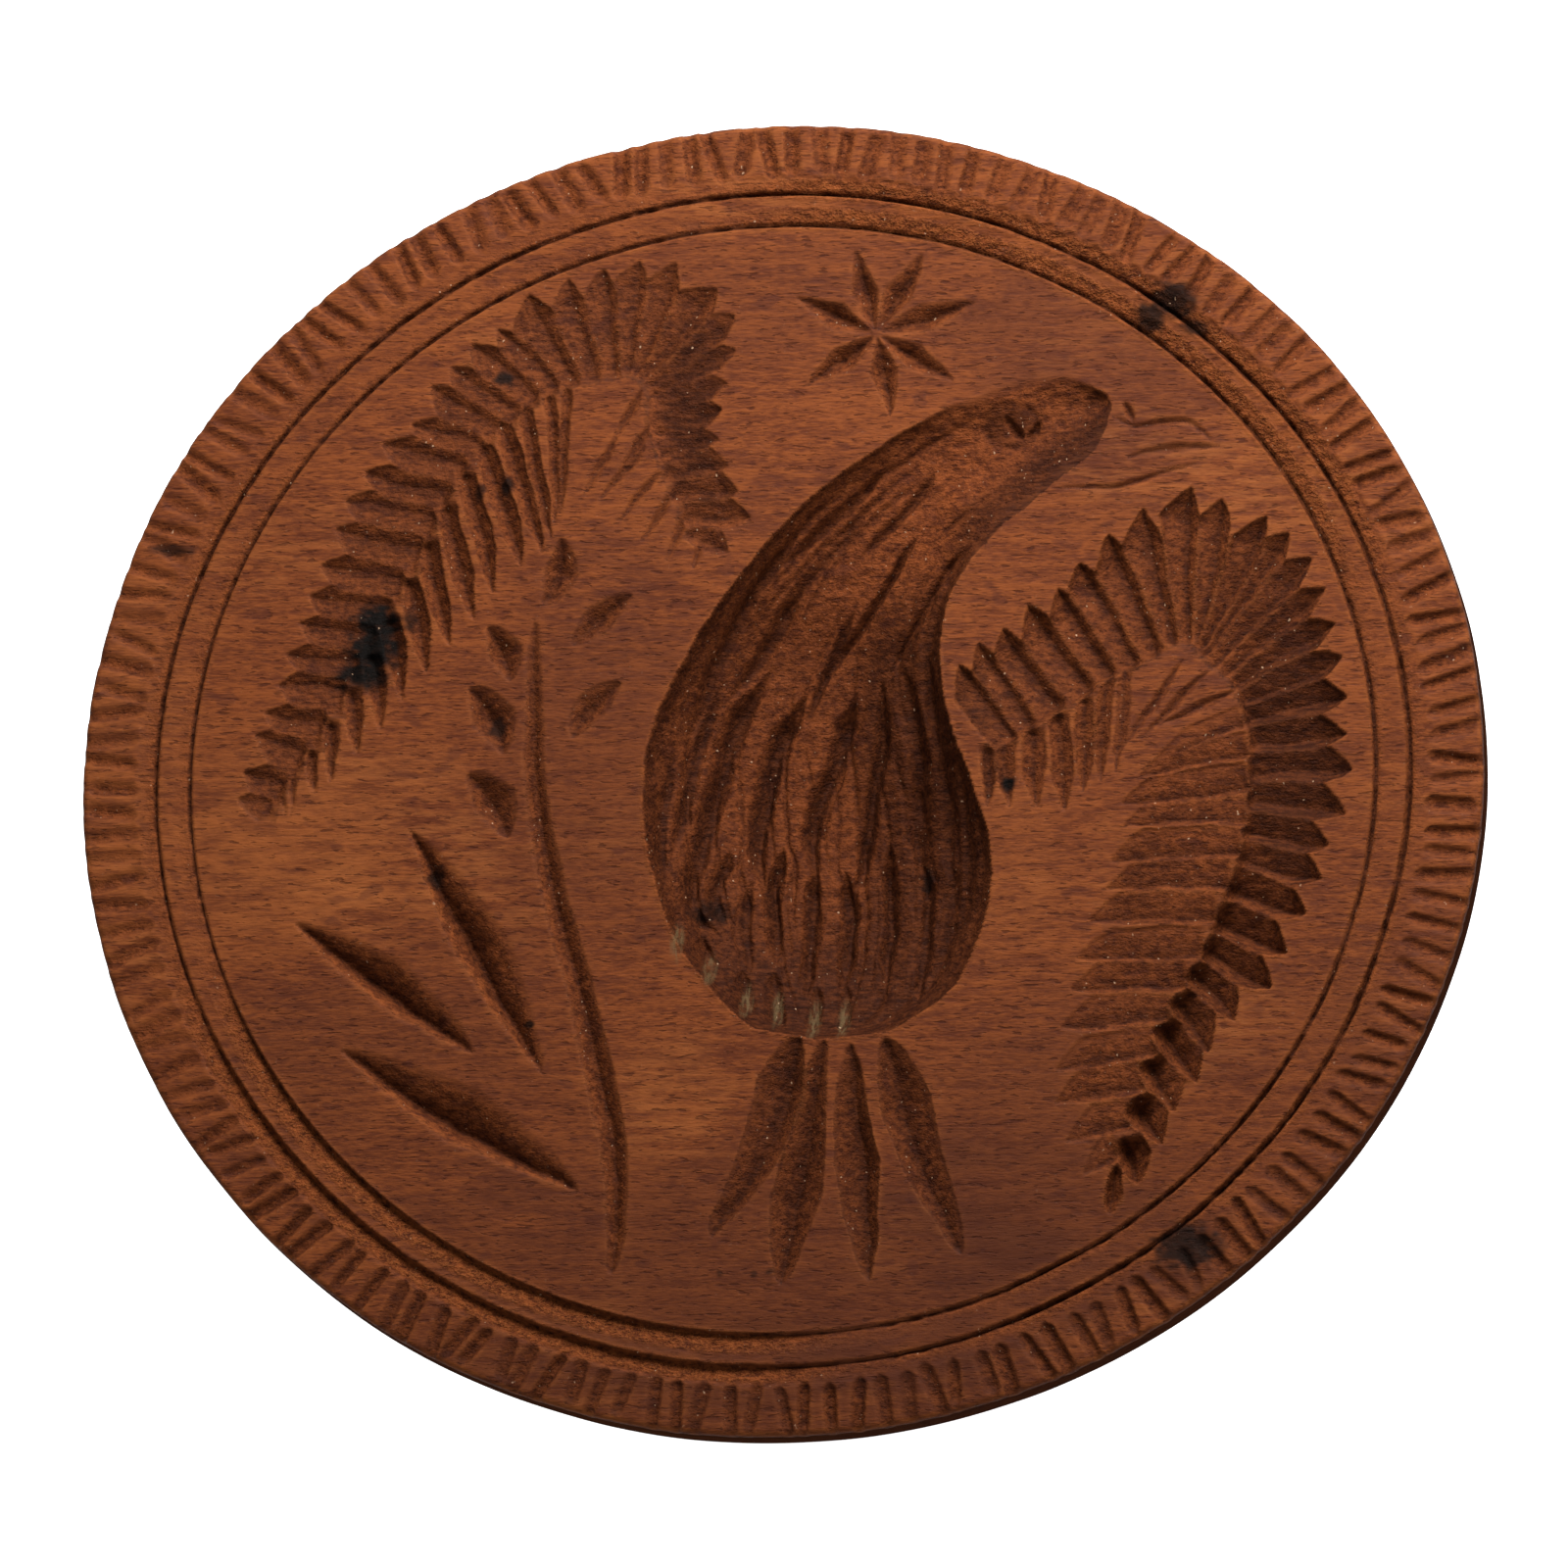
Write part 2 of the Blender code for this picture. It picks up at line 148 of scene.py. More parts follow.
# Short scoops at the tail end of the hollow, where pale dust has settled
DUSTY_SCOOPS = [
    ([(-8.6, -9.8), (-8.2, -12.4), (-7.2, -15.2)], 1.5, 0.5),
    ([(-6.4, -11.8), (-5.8, -14.4), (-4.8, -16.8)], 1.6, 0.55),
    ([(-3.4, -14.4), (-2.9, -17), (-2.2, -18.8)], 1.7, 0.6),
    ([(-0.9, -14.6), (-0.5, -17.6), (0.1, -19.5)], 1.7, 0.6),
    ([(2.4, -15.8), (2.5, -18.4), (2.6, -19.9)], 1.5, 0.5),
    ([(4.8, -15.6), (4.9, -18.4), (4.6, -19.9)], 1.6, 0.5),
    ([(7.9, -15.6), (7.2, -17.8), (5.6, -19.4)], 1.2, 0.35),
    ([(11.2, -14.6), (9.6, -17.4), (7, -19.4)], 1.1, 0.35),
    ([(13.6, -12.8), (11.8, -16), (9.4, -18.2)], 1, 0.3),
]

# Fronds: the rib, and the tips of the leaflets that leave it on its outer side
LEFT_RIB = [
    (-40, -1.4), (-34.6, 7.6), (-29.8, 16.4), (-25.1, 25.2), (-19.6, 30.4), (-13.5, 32.3),
    (-10.9, 31.3), (-10, 26), (-7.4, 19.6),
]
LEFT_TIPS = [
    (-42.7, -1), (-42.2, 1.1), (-41.3, 4), (-40.6, 5.7), (-39.6, 8), (-39, 10.3), (-38.1, 12.8),
    (-37.3, 15), (-36.3, 17.4), (-35.3, 20.4), (-34.5, 22.4), (-33, 24.8), (-31.6, 26.9),
    (-29.4, 28.4), (-28, 31.5), (-26.4, 33), (-24.7, 34.9), (-22.7, 36), (-20.3, 38.7),
    (-17.3, 39.8), (-14.5, 40.6), (-11.6, 41.2), (-8.8, 41), (-5.6, 39), (-4.1, 36.8), (-4.1, 34),
    (-4.7, 31.5), (-5, 29.3), (-5.3, 27), (-4.4, 24.8), (-3.6, 22.8), (-2.7, 20.7), (-4.4, 18),
]
RIGHT_RIB = [
    (18.2, 3), (25.7, 7.7), (31.7, 10.6), (33.5, 9), (36.4, 5), (36.6, -3), (34.2, -12.2),
    (29.9, -20.4), (26.6, -31),
]
RIGHT_TIPS = [
    (13.8, 8.8), (15.3, 10.4), (17.2, 11.7), (19.2, 13.5), (21.7, 14.8), (23.1, 16.8), (25.5, 19),
    (28.2, 21), (31.8, 22.6), (34.3, 21.7), (37.8, 20.2), (39.7, 19), (41.3, 16.9), (42.4, 14.4),
    (43.2, 11.7), (43.8, 9), (44.3, 5.8), (44.3, 2.9), (44.8, 0), (44.2, -3.4), (43, -5.9),
    (42.4, -8.5), (41.1, -11.3), (39.7, -14.2), (38.5, -17.1), (35.6, -19.6), (33.7, -22),
    (32.7, -24.4), (31, -26.7), (30.1, -29.2), (28.3, -32.4), (26.1, -34.6),
]
# Pairs of rib point and leaflet tip on the inner side, with leaflets spaced evenly between
LEFT_INNER = [
    ((-39.4, -0.8), (-39, -2.6)), ((-35.4, 4.8), (-35.2, 0.2)), ((-31, 13), (-29.6, 6.6)),
    ((-26.6, 21.8), (-24.4, 12.7)), ((-22.4, 28.6), (-19.3, 18.4)), ((-17.2, 31), (-17.9, 20.6)),
]
RIGHT_INNER = [
    ((16.1, 2.1), (16.3, -2.4)), ((21.6, 4.6), (21.9, -2.6)), ((26.9, 8.6), (25.8, 0.4)),
]
# Long shallow gouges on the inner side of the right frond, from the rib to the tip
RIGHT_GOUGES = [
    ((36.2, 3.8), (29.8, 1.4)), ((36.6, 1.4), (28.2, -0.2)), ((36.6, -1.2), (27, -2.2)),
    ((36.4, -3.8), (26.6, -4.4)), ((35.8, -6.4), (26, -6.8)), ((35, -9), (25.4, -9.4)),
    ((34, -11.6), (24.4, -11.9)), ((32.9, -14.2), (23.6, -14.5)), ((31.7, -16.8), (22.8, -17.2)),
    ((30.5, -19.4), (22.3, -20)), ((29.5, -22), (21.8, -23.1)), ((28.7, -24.8), (21.6, -26.1)),
    ((27.7, -27.6), (22.6, -29)), ((26.9, -30), (23.9, -31.4)),
]
# Thin strokes that fill the arches of the fronds
ARCH_STROKES = [
    ((-11.4, 31), (-13.6, 27)), ((-13.2, 27.4), (-15.9, 22.5)), ((-10.2, 29), (-14, 22.8)),
    ((-11, 26.6), (-14.7, 22.2)), ((-9.6, 24.8), (-13.1, 20.4)), ((-8.6, 23), (-11.2, 18.8)),
    ((-7.6, 21.4), (-9.2, 17.4)), ((-6.2, 20), (-7.2, 16.6)), ((31.5, 9), (26.5, 1.8)),
    ((33.4, 8.2), (28.2, 2.8)), ((35.6, 6.6), (29.2, 3.7)),
]
INNER_STEP = 3
# Broad flat hollows under the leaflets near the tips of the fronds: path, width, depth
POOLS = [
    ([(-9.2, 33.4), (-8.8, 30), (-8.3, 26.4), (-7.6, 23.2)], 2.2, 0.5),
    ([(37.6, 8.6), (39.4, 4), (39.4, -1), (38, -5.6)], 2.4, 0.45),
]

# Leaves and seeds: start, end, width left and right of the valley, depth, bow
LEAVES = [
    ((-29, -3.7), (-18.5, -23), 2.4, 1.3, 1.6, -0.3),
    ((-37.9, -10.9), (-23.8, -21.4), 2.2, 1.2, 1.5, -0.3),
    ((-34.2, -21.1), (-15.4, -32.3), 2.7, 1.3, 1.6, -0.6),
]
SEEDS = [
    ((-17.5, 19.4), (-18.8, 14), 1.2, 0.9, 0.8, 0.5),
    ((-11.9, 14.7), (-16.4, 10.7), 0.9, 1, 0.7, -0.3),
    ((-12.7, 7.8), (-16.5, 3.4), 0.9, 1.1, 0.7, -0.4),
    ((-23.2, 12.4), (-21.4, 7.9), 1.3, 0.8, 0.9, 0.3),
    ((-24.4, 7.5), (-21.8, 2.2), 1.5, 1.1, 1, 0.3),
    ((-24.7, 0.7), (-21.4, -4.4), 1.6, 1.1, 1, 0.3),
]
# Tail feathers: path, width left and right of the valley, depth, where they are widest
TAIL = [
    ([(1.6, -20.4), (0.2, -26.9), (-1.8, -31.4), (-5.1, -36.2)], 1.3, 2.4, 1.1, 0.25),
    ([(3.6, -20.6), (2.6, -26.9), (2, -31.4), (0.4, -39.8)], 1.7, 2, 1.2, 0.66),
    ([(5.8, -21), (6.3, -26.9), (6.9, -31.4), (7.4, -39.7)], 1.2, 2.1, 1.2, 0.5),
    ([(8.4, -20.5), (9.4, -24.6), (11, -30), (14.5, -37.6)], 2.3, 1.5, 1.1, 0.3),
]
STAR_CENTRE = (7, 35.2)
STAR_TIPS = [
    (5.4, 41.9), (10.7, 41.5), (14.9, 37.6), (13.2, 31.3), (8.3, 28.6), (1.7, 31.1), (0.6, 38.3),
]
STEM = [
    (-19.4, 12.6), (-19.5, 6), (-19.2, -1), (-18, -8), (-15.8, -16), (-13.6, -25), (-12.5, -32),
    (-12.8, -38.9),
]
BEAK_LINES = [
    ([(26.6, 29.4), (27.3, 28)], 0.7, 0.4),
    ([(25.7, 28.3), (27.4, 27.6), (29.5, 27.8), (31.6, 27.8), (33.4, 26.4)], 0.55, 0.28),
    ([(26.8, 25), (29.8, 25.7), (34, 25.9)], 0.6, 0.25),
    ([(21.4, 22.7), (26, 22.8), (29.5, 23.7), (32.4, 24.6)], 0.5, 0.22),
]
EYE = (17.8, 27.8)

# Dark stains: centre, half length and half height, strength
STAINS = [
    (-31.9, 12.9, 1.6, 1.3, 1), (-32.2, 10.6, 1.8, 1.6, 1), (-33.1, 8.6, 1.8, 1.2, 1),
    (-29.4, 13, 0.5, 0.9, 0.8), (-48.2, 18.8, 1.5, 0.5, 0.8), (30.4, 37.6, 1.6, 1.3, 0.9),
    (28.5, 36.2, 1.1, 1.1, 0.9), (32, 35.4, 0.9, 0.7, 0.8), (32.2, -37.2, 2.4, 1.6, 0.9),
    (17.9, -0.6, 0.55, 0.55, 1), (-22.2, 32.1, 0.7, 0.5, 0.9), (-21.9, 23.4, 0.45, 0.9, 0.9),
    (-24, 23, 0.4, 0.6, 0.8), (-22.3, 4.4, 0.7, 0.8, 0.8), (-27, -7.4, 0.6, 0.8, 0.8),
    (-6, -9.8, 1.3, 0.8, 0.7), (11, -7.4, 0.5, 0.8, 0.8), (-19.5, -19.2, 0.35, 0.35, 0.9),
    (-4.3, -39, 0.25, 0.25, 0.6), (-1.6, -39.1, 0.22, 0.22, 0.6), (-0.4, -38.9, 0.3, 0.22, 0.6),
]

# Where old dirt fills the cuts, with painted shade in the cuts on the right side of the bird's
# hollow and of the right frond: centre, half length and half height, strength
DIRT_AND_SHADE_PATCHES = [
    (40.6, 3, 4.6, 13, 0.95), (38.3, 13.8, 5.5, 6, 0.6), (35.8, -18, 5.5, 9, 0.6),
    (-6.6, 29.4, 3.2, 7.4, 1), (24.2, 28.4, 1.5, 2.4, 0.55), (-4.6, 27, 1.6, 7, 0.8),
    (14, -2, 3.2, 10, 0.95), (10.5, -10, 5, 7, 0.5), (-7.6, -4, 2.2, 7, 0.35),
    (-30, 21, 3.5, 4.5, 0.35), (26.8, -9, 3.6, 9, 0.4),
]
# Broad paler and darker areas of the flat field, partly painted shade: the darker patches towards
# the bottom stand in for the light falling off there; centre, half sizes, lightness
FIELD_TONE_AND_SHADE = [
    (-39, -5, 7, 8, 0.45), (-33, -8.5, 5, 1.6, 0.5), (-27.5, 1, 4, 1.8, 0.35),
    (-8, -25, 3.6, 4, 0.35), (-27, -27, 5, 3, 0.25), (18, -8, 3, 8, 0.15),
    (-14, 2, 9, 12, -0.45), (0, -39, 26, 9, -0.6), (22, -31, 11, 11, -0.5),
    (-30, -22, 12, 9, -0.35), (24, 32, 9, 9, -0.5), (-1, 38, 14, 5, -0.3),
    (40, -26, 6, 10, -0.25), (51, -20, 6, 10, -0.3), (-52, 4, 5, 12, 0.3),
    (4, -50, 36, 6, -0.5),
]

LATTICE = np.random.default_rng(11).random((256, 256))


def noise(x, y, seed=0):
    """A smooth random field from -1 to 1 with about one bump per unit."""
    x = np.asarray(x, float) + 31.7 * seed
    y = np.asarray(y, float) + 57.3 * seed
    i = np.floor(x).astype(int)
    j = np.floor(y).astype(int)
    u = smooth(x - i)
    v = smooth(y - j)
    a = LATTICE[i % 256, j % 256]
    b = LATTICE[(i + 1) % 256, j % 256]
    c = LATTICE[i % 256, (j + 1) % 256]
    d = LATTICE[(i + 1) % 256, (j + 1) % 256]
    return 2.0 * ((a * (1 - u) + b * u) * (1 - v) + (c * (1 - u) + d * u) * v) - 1.0


def patch(x, y, place, ragged):
    """How much of a soft patch with a ragged edge lies at the points, from 0 to 1."""
    centre_x, centre_y, along, up, strength = place
    reach = np.hypot((x - centre_x) / along, (y - centre_y) / up)
    return strength * smooth(1.6 - reach + ragged)


def patches(x, y, places, ragged):
    """The strongest of the patches at each of the points."""
    return np.max([patch(x, y, place, ragged) for place in places], axis=0)


def unit(value):
    return np.clip(value, 0, 1)


def smooth(value):
    """A soft step from 0 to 1 as the value goes from 0 to 1."""
    value = unit(value)
    return value * value * (3.0 - 2.0 * value)


def on_curve(points, position):
    """A point on the smooth curve through the points; position 0 is the first, 1 the second."""
    points = np.asarray(points, float)
    last = len(points) - 1
    index = min(int(position), last - 1)
    t = position - index
    a = points[max(index - 1, 0)]
    b = points[index]
    c = points[index + 1]
    d = points[min(index + 2, last)]
    bend = (2 * a - 5 * b + 4 * c - d) * t * t + (3 * b - a - 3 * c + d) * t ** 3
    return 0.5 * (2 * b + (c - a) * t + bend)


def resample(points, steps):
    """The smooth curve through the points, with this many steps between each two."""
    count = (len(points) - 1) * steps + 1
    return np.array([on_curve(points, i / steps) for i in range(count)])


class Carving:
    """Depth below the flat field at the points x, y; the deepest cut wins.

    The grime is how much dirt and painted shade lie in the cut that won, from 0 to 1; the painted
    shade darkens cuts and walls that face away from the light. The points are shifted a little for
    the hand-made cuts, so that their edges waver.
    """

    def __init__(self, x, y):
        self.radius = np.hypot(x, y / SHRINK)
        self.angle = np.arctan2(y / SHRINK, x)
        self.x = x + 0.12 * noise(x / 1.9, y / 1.9, 17) + 0.05 * noise(x / 0.6, y / 0.5, 18)
        self.y = y + 0.12 * noise(x / 1.9, y / 1.9, 19) + 0.05 * noise(x / 0.6, y / 0.5, 20)
        self.depth = np.zeros_like(x)
        self.grime_and_shade = np.zeros_like(x)

    def near(self, path, reach):
        path = np.asarray(path, float)
        low = path.min(0) - reach
        high = path.max(0) + reach
        inside = (self.x > low[0]) & (self.x < high[0]) & (self.y > low[1]) & (self.y < high[1])
        return np.nonzero(inside)[0]

    def cut(self, index, depth, grime_and_shade):
        deeper = depth > self.depth[index]
        index = index[deeper]
        self.depth[index] = depth[deeper]
        self.grime_and_shade[index] = (grime_and_shade * np.ones_like(depth))[deeper]

    def along(self, path, reach):
        """Points near the path: index, share of its length, distance to its left."""
        path = np.asarray(path, float)
        index = self.near(path, reach)
        x = self.x[index]
        y = self.y[index]
        best = np.full(len(index), 1e9)
        share = np.zeros(len(index))
        side = np.zeros(len(index))
        steps = np.linalg.norm(np.diff(path, axis=0), axis=1)
        reached = np.concatenate([[0.0], np.cumsum(steps)]) / steps.sum()
        for k, length in enumerate(steps):
            dx, dy = (path[k + 1] - path[k]) / length
            t = np.clip((x - path[k, 0]) * dx + (y - path[k, 1]) * dy, 0.0, length)
            ox = x - path[k, 0] - t * dx
            oy = y - path[k, 1] - t * dy
            far = np.hypot(ox, oy)
            closer = far < best
            best[closer] = far[closer]
            share[closer] = (reached[k] + t / length * (reached[k + 1] - reached[k]))[closer]
            side[closer] = np.where(dx * oy - dy * ox > 0, far, -far)[closer]
        return index, share, side

    def stroke(self, path, left, right, depth, widest=0.5, blunt=0.8, power=1.0, grime_and_shade=0.6,
               even=0.2):
        """One stroke of a blade along the path, pointed at both ends."""
        index, share, side = self.along(path, max(left, right))
        rise = unit(share / widest) ** blunt
        fall = unit((1 - share) / (1 - widest)) ** blunt
        shape = np.minimum(rise, fall)
        width = np.where(side > 0, left, right) * np.maximum(shape, 1e-6)
        wall = unit(1 - np.abs(side) / width)
        # Dirt and painted shade, darker towards the valley of the cut
        dirt_and_shade = grime_and_shade * (even + (1 - even) * smooth((wall - 0.35) / 0.65))
        self.cut(index, depth * shape * wall ** power, dirt_and_shade)

    def leaflet(self, root, tip, left, right, depth, fan, point, bow, grime_and_shade, floor):
        """A leaflet: a cut with a blunt root and a pointed tip, as wide as its room."""
        root = np.asarray(root, float)
        tip = np.asarray(tip, float)
        length = np.linalg.norm(tip - root)
        ux, uy = (tip - root) / length
        index = self.near([root, tip], left + right + 0.6)
        x = self.x[index] - root[0]
        y = self.y[index] - root[1]
        t = (x * ux + y * uy) / length
        side = -x * uy + y * ux - bow * length * 4 * t * (1 - t)
        taper = unit((1 - t) * length / point) ** 0.8
        start = smooth((t * length + 0.5) / 0.9)
        spread = fan + (1 - fan) * unit(t)
        width = np.where(side > 0, left, right) * np.maximum(taper * spread, 1e-6)
        wall = unit(1 - np.abs(side) / width)
        # Dirt and painted shade, darkest towards the valley; floor sets how dark the wide left wall
        # is
        dirt_and_shade = np.where(side > 0, floor + (1 - floor) * smooth((wall - 0.6) / 0.4),
                        0.7 * floor + (1 - 0.7 * floor) * smooth((wall - 0.45) / 0.55))
        deep = depth * start * taper ** 0.5 * (0.45 + 0.55 * spread)
        self.cut(index, deep * (0.24 * smooth(wall / 0.14) + 0.76 * wall), grime_and_shade * dirt_and_shade)

    def deepen(self, path, width, depth, grime_and_shade):
        """A rounded gouge stroke inside the bird's hollow, on top of its bowl."""
        index, share, side = self.along(path, width)
        shape = np.minimum(unit(share / 0.2), unit((1 - share) / 0.25)) ** 0.7
        ragged = 1 + 0.16 * noise(self.x[index] / 0.7, self.y[index] / 2.4, 12)
        reach = np.where(side > 0, 0.5, 0.62) * width * np.maximum(shape, 1e-6) * ragged
        wall = unit(1 - np.abs(side) / reach)
        inside = smooth(self.depth[index] / 1.6)
        self.depth[index] += depth * shape * inside * smooth(wall)
        # Dirt and painted shade in the gouge, darker towards its middle
        dirt_and_shade = grime_and_shade * inside * smooth(wall * 1.5) * shape ** 0.6
        self.grime_and_shade[index] = np.maximum(self.grime_and_shade[index], dirt_and_shade)


def cut_rings(c):
    index = np.nonzero(c.radius > 45)[0]
    angle = c.angle[index]
    x = np.cos(angle)
    y = np.sin(angle)
    radius = c.radius[index] + 0.07 * noise(x * 5, y * 5, 1) + 0.03 * noise(x * 47, y * 47, 7)
    lines = np.interp(radius, *zip(*LINES)) * (0.72 + 0.15 * noise(x * 9, y * 9, 8))
    lower = smooth(0.5 - 1.2 * y) * (1 - smooth((x - 0.1) / 0.4))
    lines = np.maximum(lines - 0.22 * lower, 0) * (1 + 0.45 * noise(x * 70, y * 70, 22))
    lines = lines * (0.9 + 0.3 * torn_side(angle) * (1 - lower))
    slopes = np.interp(radius, *zip(*SLOPES))
    slopes = slopes * (0.35 + 0.75 * torn_side(angle) + 0.1 * noise(x * 4, y * 4, 9))
    grain = noise(c.x[index] / 0.55, c.y[index] / 0.3, 10)
    slopes = slopes + 0.09 * grain * torn_side(angle) * smooth(slopes / 0.15)
    c.cut(index, slopes, 0.0)
    c.cut(index, lines + slopes * (0.75 - 0.45 * lower), smooth(lines / 0.3) * (lines > 0.02))


def torn_side(angle):
    """Where the turning tore the grain: the upper right and the lower left of the rings."""
    return smooth((np.cos(2 * (angle - math.radians(57))) - 0.1) / 0.6)


def cut_notches(c):
    uniform = np.random.default_rng(5).uniform
    pitch = 2 * math.pi / NOTCHES
    angles = (np.arange(NOTCHES) + uniform(-0.15, 0.15, NOTCHES)) * pitch - math.pi
    half = uniform(0.6, 0.82, NOTCHES)
    deep = NOTCH_DEPTH * uniform(0.7, 1.25, NOTCHES)
    inner = NOTCH_INNER + uniform(-0.2, 0.4, NOTCHES)
    outer = NOTCH_OUTER + uniform(-0.5, 0.8, NOTCHES)
    lean = uniform(-0.014, 0.014, NOTCHES)
    index = np.nonzero(c.radius > NOTCH_INNER - 0.6)[0]
    angle = c.angle[index]
    radius = c.radius[index]
    nearest = np.rint((angle + math.pi) / pitch).astype(int)
    lower = smooth((-np.sin(angle) - 0.3) / 0.4)
    for shift in (-1, 0, 1):
        n = (nearest + shift) % NOTCHES
        off = angle - angles[n] - lean[n] * (radius - 52) / 3
        off = (off + math.pi) % (2 * math.pi) - math.pi
        from_inner = radius - inner[n]
        from_outer = outer[n] - radius
        rounded_ends = unit(from_inner / 0.6) ** 0.5 * unit(from_outer / 0.5) ** 0.5
        width = half[n] * (1 - 0.08 * lower) * np.maximum(rounded_ends, 1e-6)
        across = off * radius / width
        floor = unit(1 - np.abs(across) ** 1.8)
        tilt = 0.66 + 0.34 * np.clip(across, -1, 1)
        ends = unit(from_inner) ** 0.6 * unit(from_outer / 0.9) ** 0.6
        # Dirt in the notch floors with painted shade: darker on the steep side of each notch and
        # towards the bottom of the border, fainter at the left
        dirt_and_shade = floor * (0.22 + 0.4 * lower + 0.6 * smooth((across - 0.3) / 0.4))
        faint = smooth((-np.cos(angle) - 0.7) / 0.25)
        c.cut(index, deep[n] * floor * tilt * ends * (1 - 0.3 * faint), dirt_and_shade * (1 - 0.45 * faint))


def cut_bird(c):
    stations = resample(BIRD, 18)
    left = stations[:, :2]
    right = stations[:, 2:4]
    index = c.near(np.vstack([left, right]), 0.5)
    centre = (left + right) / 2
    half = np.linalg.norm(right - left, axis=1) / 2
    across = (right - left) / (2 * half[:, None])
    last = len(stations) - 1
    x = c.x[index]
    y = c.y[index]
    best = np.full(len(index), 1e9)
    depth = np.zeros(len(index))
    soot_and_shade = np.zeros(len(index))
    previous = None
    for k in range(len(stations)):
        dx = x - centre[k, 0]
        dy = y - centre[k, 1]
        ahead = dx * -across[k, 1] + dy * across[k, 0]
        share = (dx * across[k, 0] + dy * across[k, 1]) / half[k]
        if previous is not None:
            before, share_before = previous
            between = (before >= 0) & (ahead < 0)
            t = before / np.where(between, before - ahead, 1.0)
            u = share_before + (share - share_before) * t
            deep = stations[k - 1, 4] + (stations[k, 4] - stations[k - 1, 4]) * t
            way = k / last
            slim = smooth((way - 0.45) / 0.45)
            head = smooth((way - 0.68) / 0.14)
            throat = smooth((way - 0.58) / 0.1)
            steep = np.where(u > 0, 2.0 + slim - 1.5 * throat, 2.8 + 3.0 * slim - 4.0 * head)
            power = np.where(u > 0, 0.75 + 0.35 * slim + 0.2 * throat,
                             0.75 + 0.1 * slim + 0.45 * head)
            body = 1 - smooth((way - 0.42) / 0.16)
            neck = 1 - smooth((way - 0.58) / 0.14)
            # Dirt and painted shade: painted shade darkens the walls, the right much more than the
            # left, a band at the neck's left edge, the neck's and head's right side, and a thin
            # line at the outline; the belly is also darker towards the tail end.
            dirt_and_shade = 0.32 + 0.95 * smooth((u - 0.1) / 0.4) + 0.3 * smooth((-0.4 - u) / 0.4)
            dirt_and_shade = body * (dirt_and_shade + 0.9 * smooth((0.28 - way) / 0.18))
            dirt_and_shade = dirt_and_shade + (1 - body) * (0.2 * neck * smooth((-0.75 - u) / 0.2)
                                        + 0.9 * smooth((u - 0.5 + 0.3 * throat) / 0.45))
            dirt_and_shade = dirt_and_shade + 0.45 * head * smooth((u + 0.5) / 0.6)
            rim = 0.8 - 0.7 * head * (u < 0)
            soot_and_shade_scale = 0.75 + 0.25 * smooth((0.2 - way) / 0.15) + 0.12 * throat * (u > 0)
            u = np.abs(u)
            bowl = deep * unit(1 - unit(u) ** steep) ** power
            use = between & (u < 1) & (u < best)
            best[use] = u[use]
            depth[use] = bowl[use]
            soot_and_shade[use] = (np.clip(dirt_and_shade + rim * smooth((u - 0.93) / 0.05), 0, 1.1) * soot_and_shade_scale)[use]
        previous = (ahead, share)
    c.cut(index, depth, soot_and_shade)


def flow_line(u, low, high, uniform):
    """A line inside the hollow that follows its sides; u runs from -1, left, to 1, right."""
    stations = resample(BIRD, 4)
    last = len(stations) - 1
    path = []
    for share in np.linspace(low, high, 8):
        left = on_curve(stations[:, :2], share * last)
        right = on_curve(stations[:, 2:4], share * last)
        across = 0.5 + 0.5 * (u + uniform(-0.025, 0.025))
        path.append(left + (right - left) * across)
    return np.array(path)


def cut_feathers(c):
    uniform = np.random.default_rng(31).uniform
    for u in np.linspace(-0.92, 0.92, 14):
        low = 0.08 + uniform(-0.03, 0.14)
        high = 0.44 + uniform(-0.12, 0.05)
        path = flow_line(u + uniform(-0.03, 0.03), low, high, uniform)
        # Strokes further right are darker: painted shade on the hollow's right side, over the dirt
        dirt_and_shade = 0.5 + 0.4 * max(u, 0)
        c.deepen(path, uniform(0.4, 0.75), uniform(0.15, 0.35), dirt_and_shade)
    for u in (-0.86, -0.7, -0.52, -0.34, 0.6, 0.8):
        low = 0.44 + uniform(-0.03, 0.05)
        path = flow_line(u, low, low + uniform(0.18, 0.3), uniform)
        c.deepen(path, uniform(0.5, 0.8), uniform(0.15, 0.35), 0.45)
    for path, width, depth in FEATHERS:
        path = resample(path, 5)
        path = np.vstack([2 * path[0] - path[2], path, 2 * path[-1] - path[-3]])
        light = float(smooth((path[:, 1].mean() - 8) / 8))
        c.deepen(path, width * 0.92, depth * (1.15 - 0.25 * light), 1.0 - 0.3 * light)
        beside = path + uniform(-1.1, 1.1, 2) * (1.0, 0.6)
        thin = uniform(0.35, 0.7)
        c.deepen(beside, thin, uniform(0.1, 0.25), uniform(0.3, 0.65))
    for path, width, depth in DUSTY_SCOOPS:
        c.deepen(resample(path, 5), width, depth, 0.8)


def cut_eye(c):
    x, y = EYE
    ring = np.hypot((c.x - x) / 1.1, (c.y - y) / 0.85)
    mark = unit(1 - np.abs(ring - 1.9) / 0.6)
    rough = 0.6 + 0.4 * noise(c.x / 0.7, c.y / 0.7, 14)
    c.depth += 0.14 * smooth(mark) * rough
    around = (0.5 + 0.3 * rough) * smooth((2.6 - ring) / 0.8)
    c.grime_and_shade = np.maximum(c.grime_and_shade, np.maximum(mark * rough, around))
    c.deepen([(x - 0.7, y + 0.9), (x - 0.1, y + 0.1), (x + 0.8, y - 0.9)], 1.0, 0.6, 1.0)
    c.deepen([(x + 2.0, y + 0.5), (x + 1.7, y - 0.3), (x + 0.9, y - 0.9)], 0.85, 0.5, 0.95)


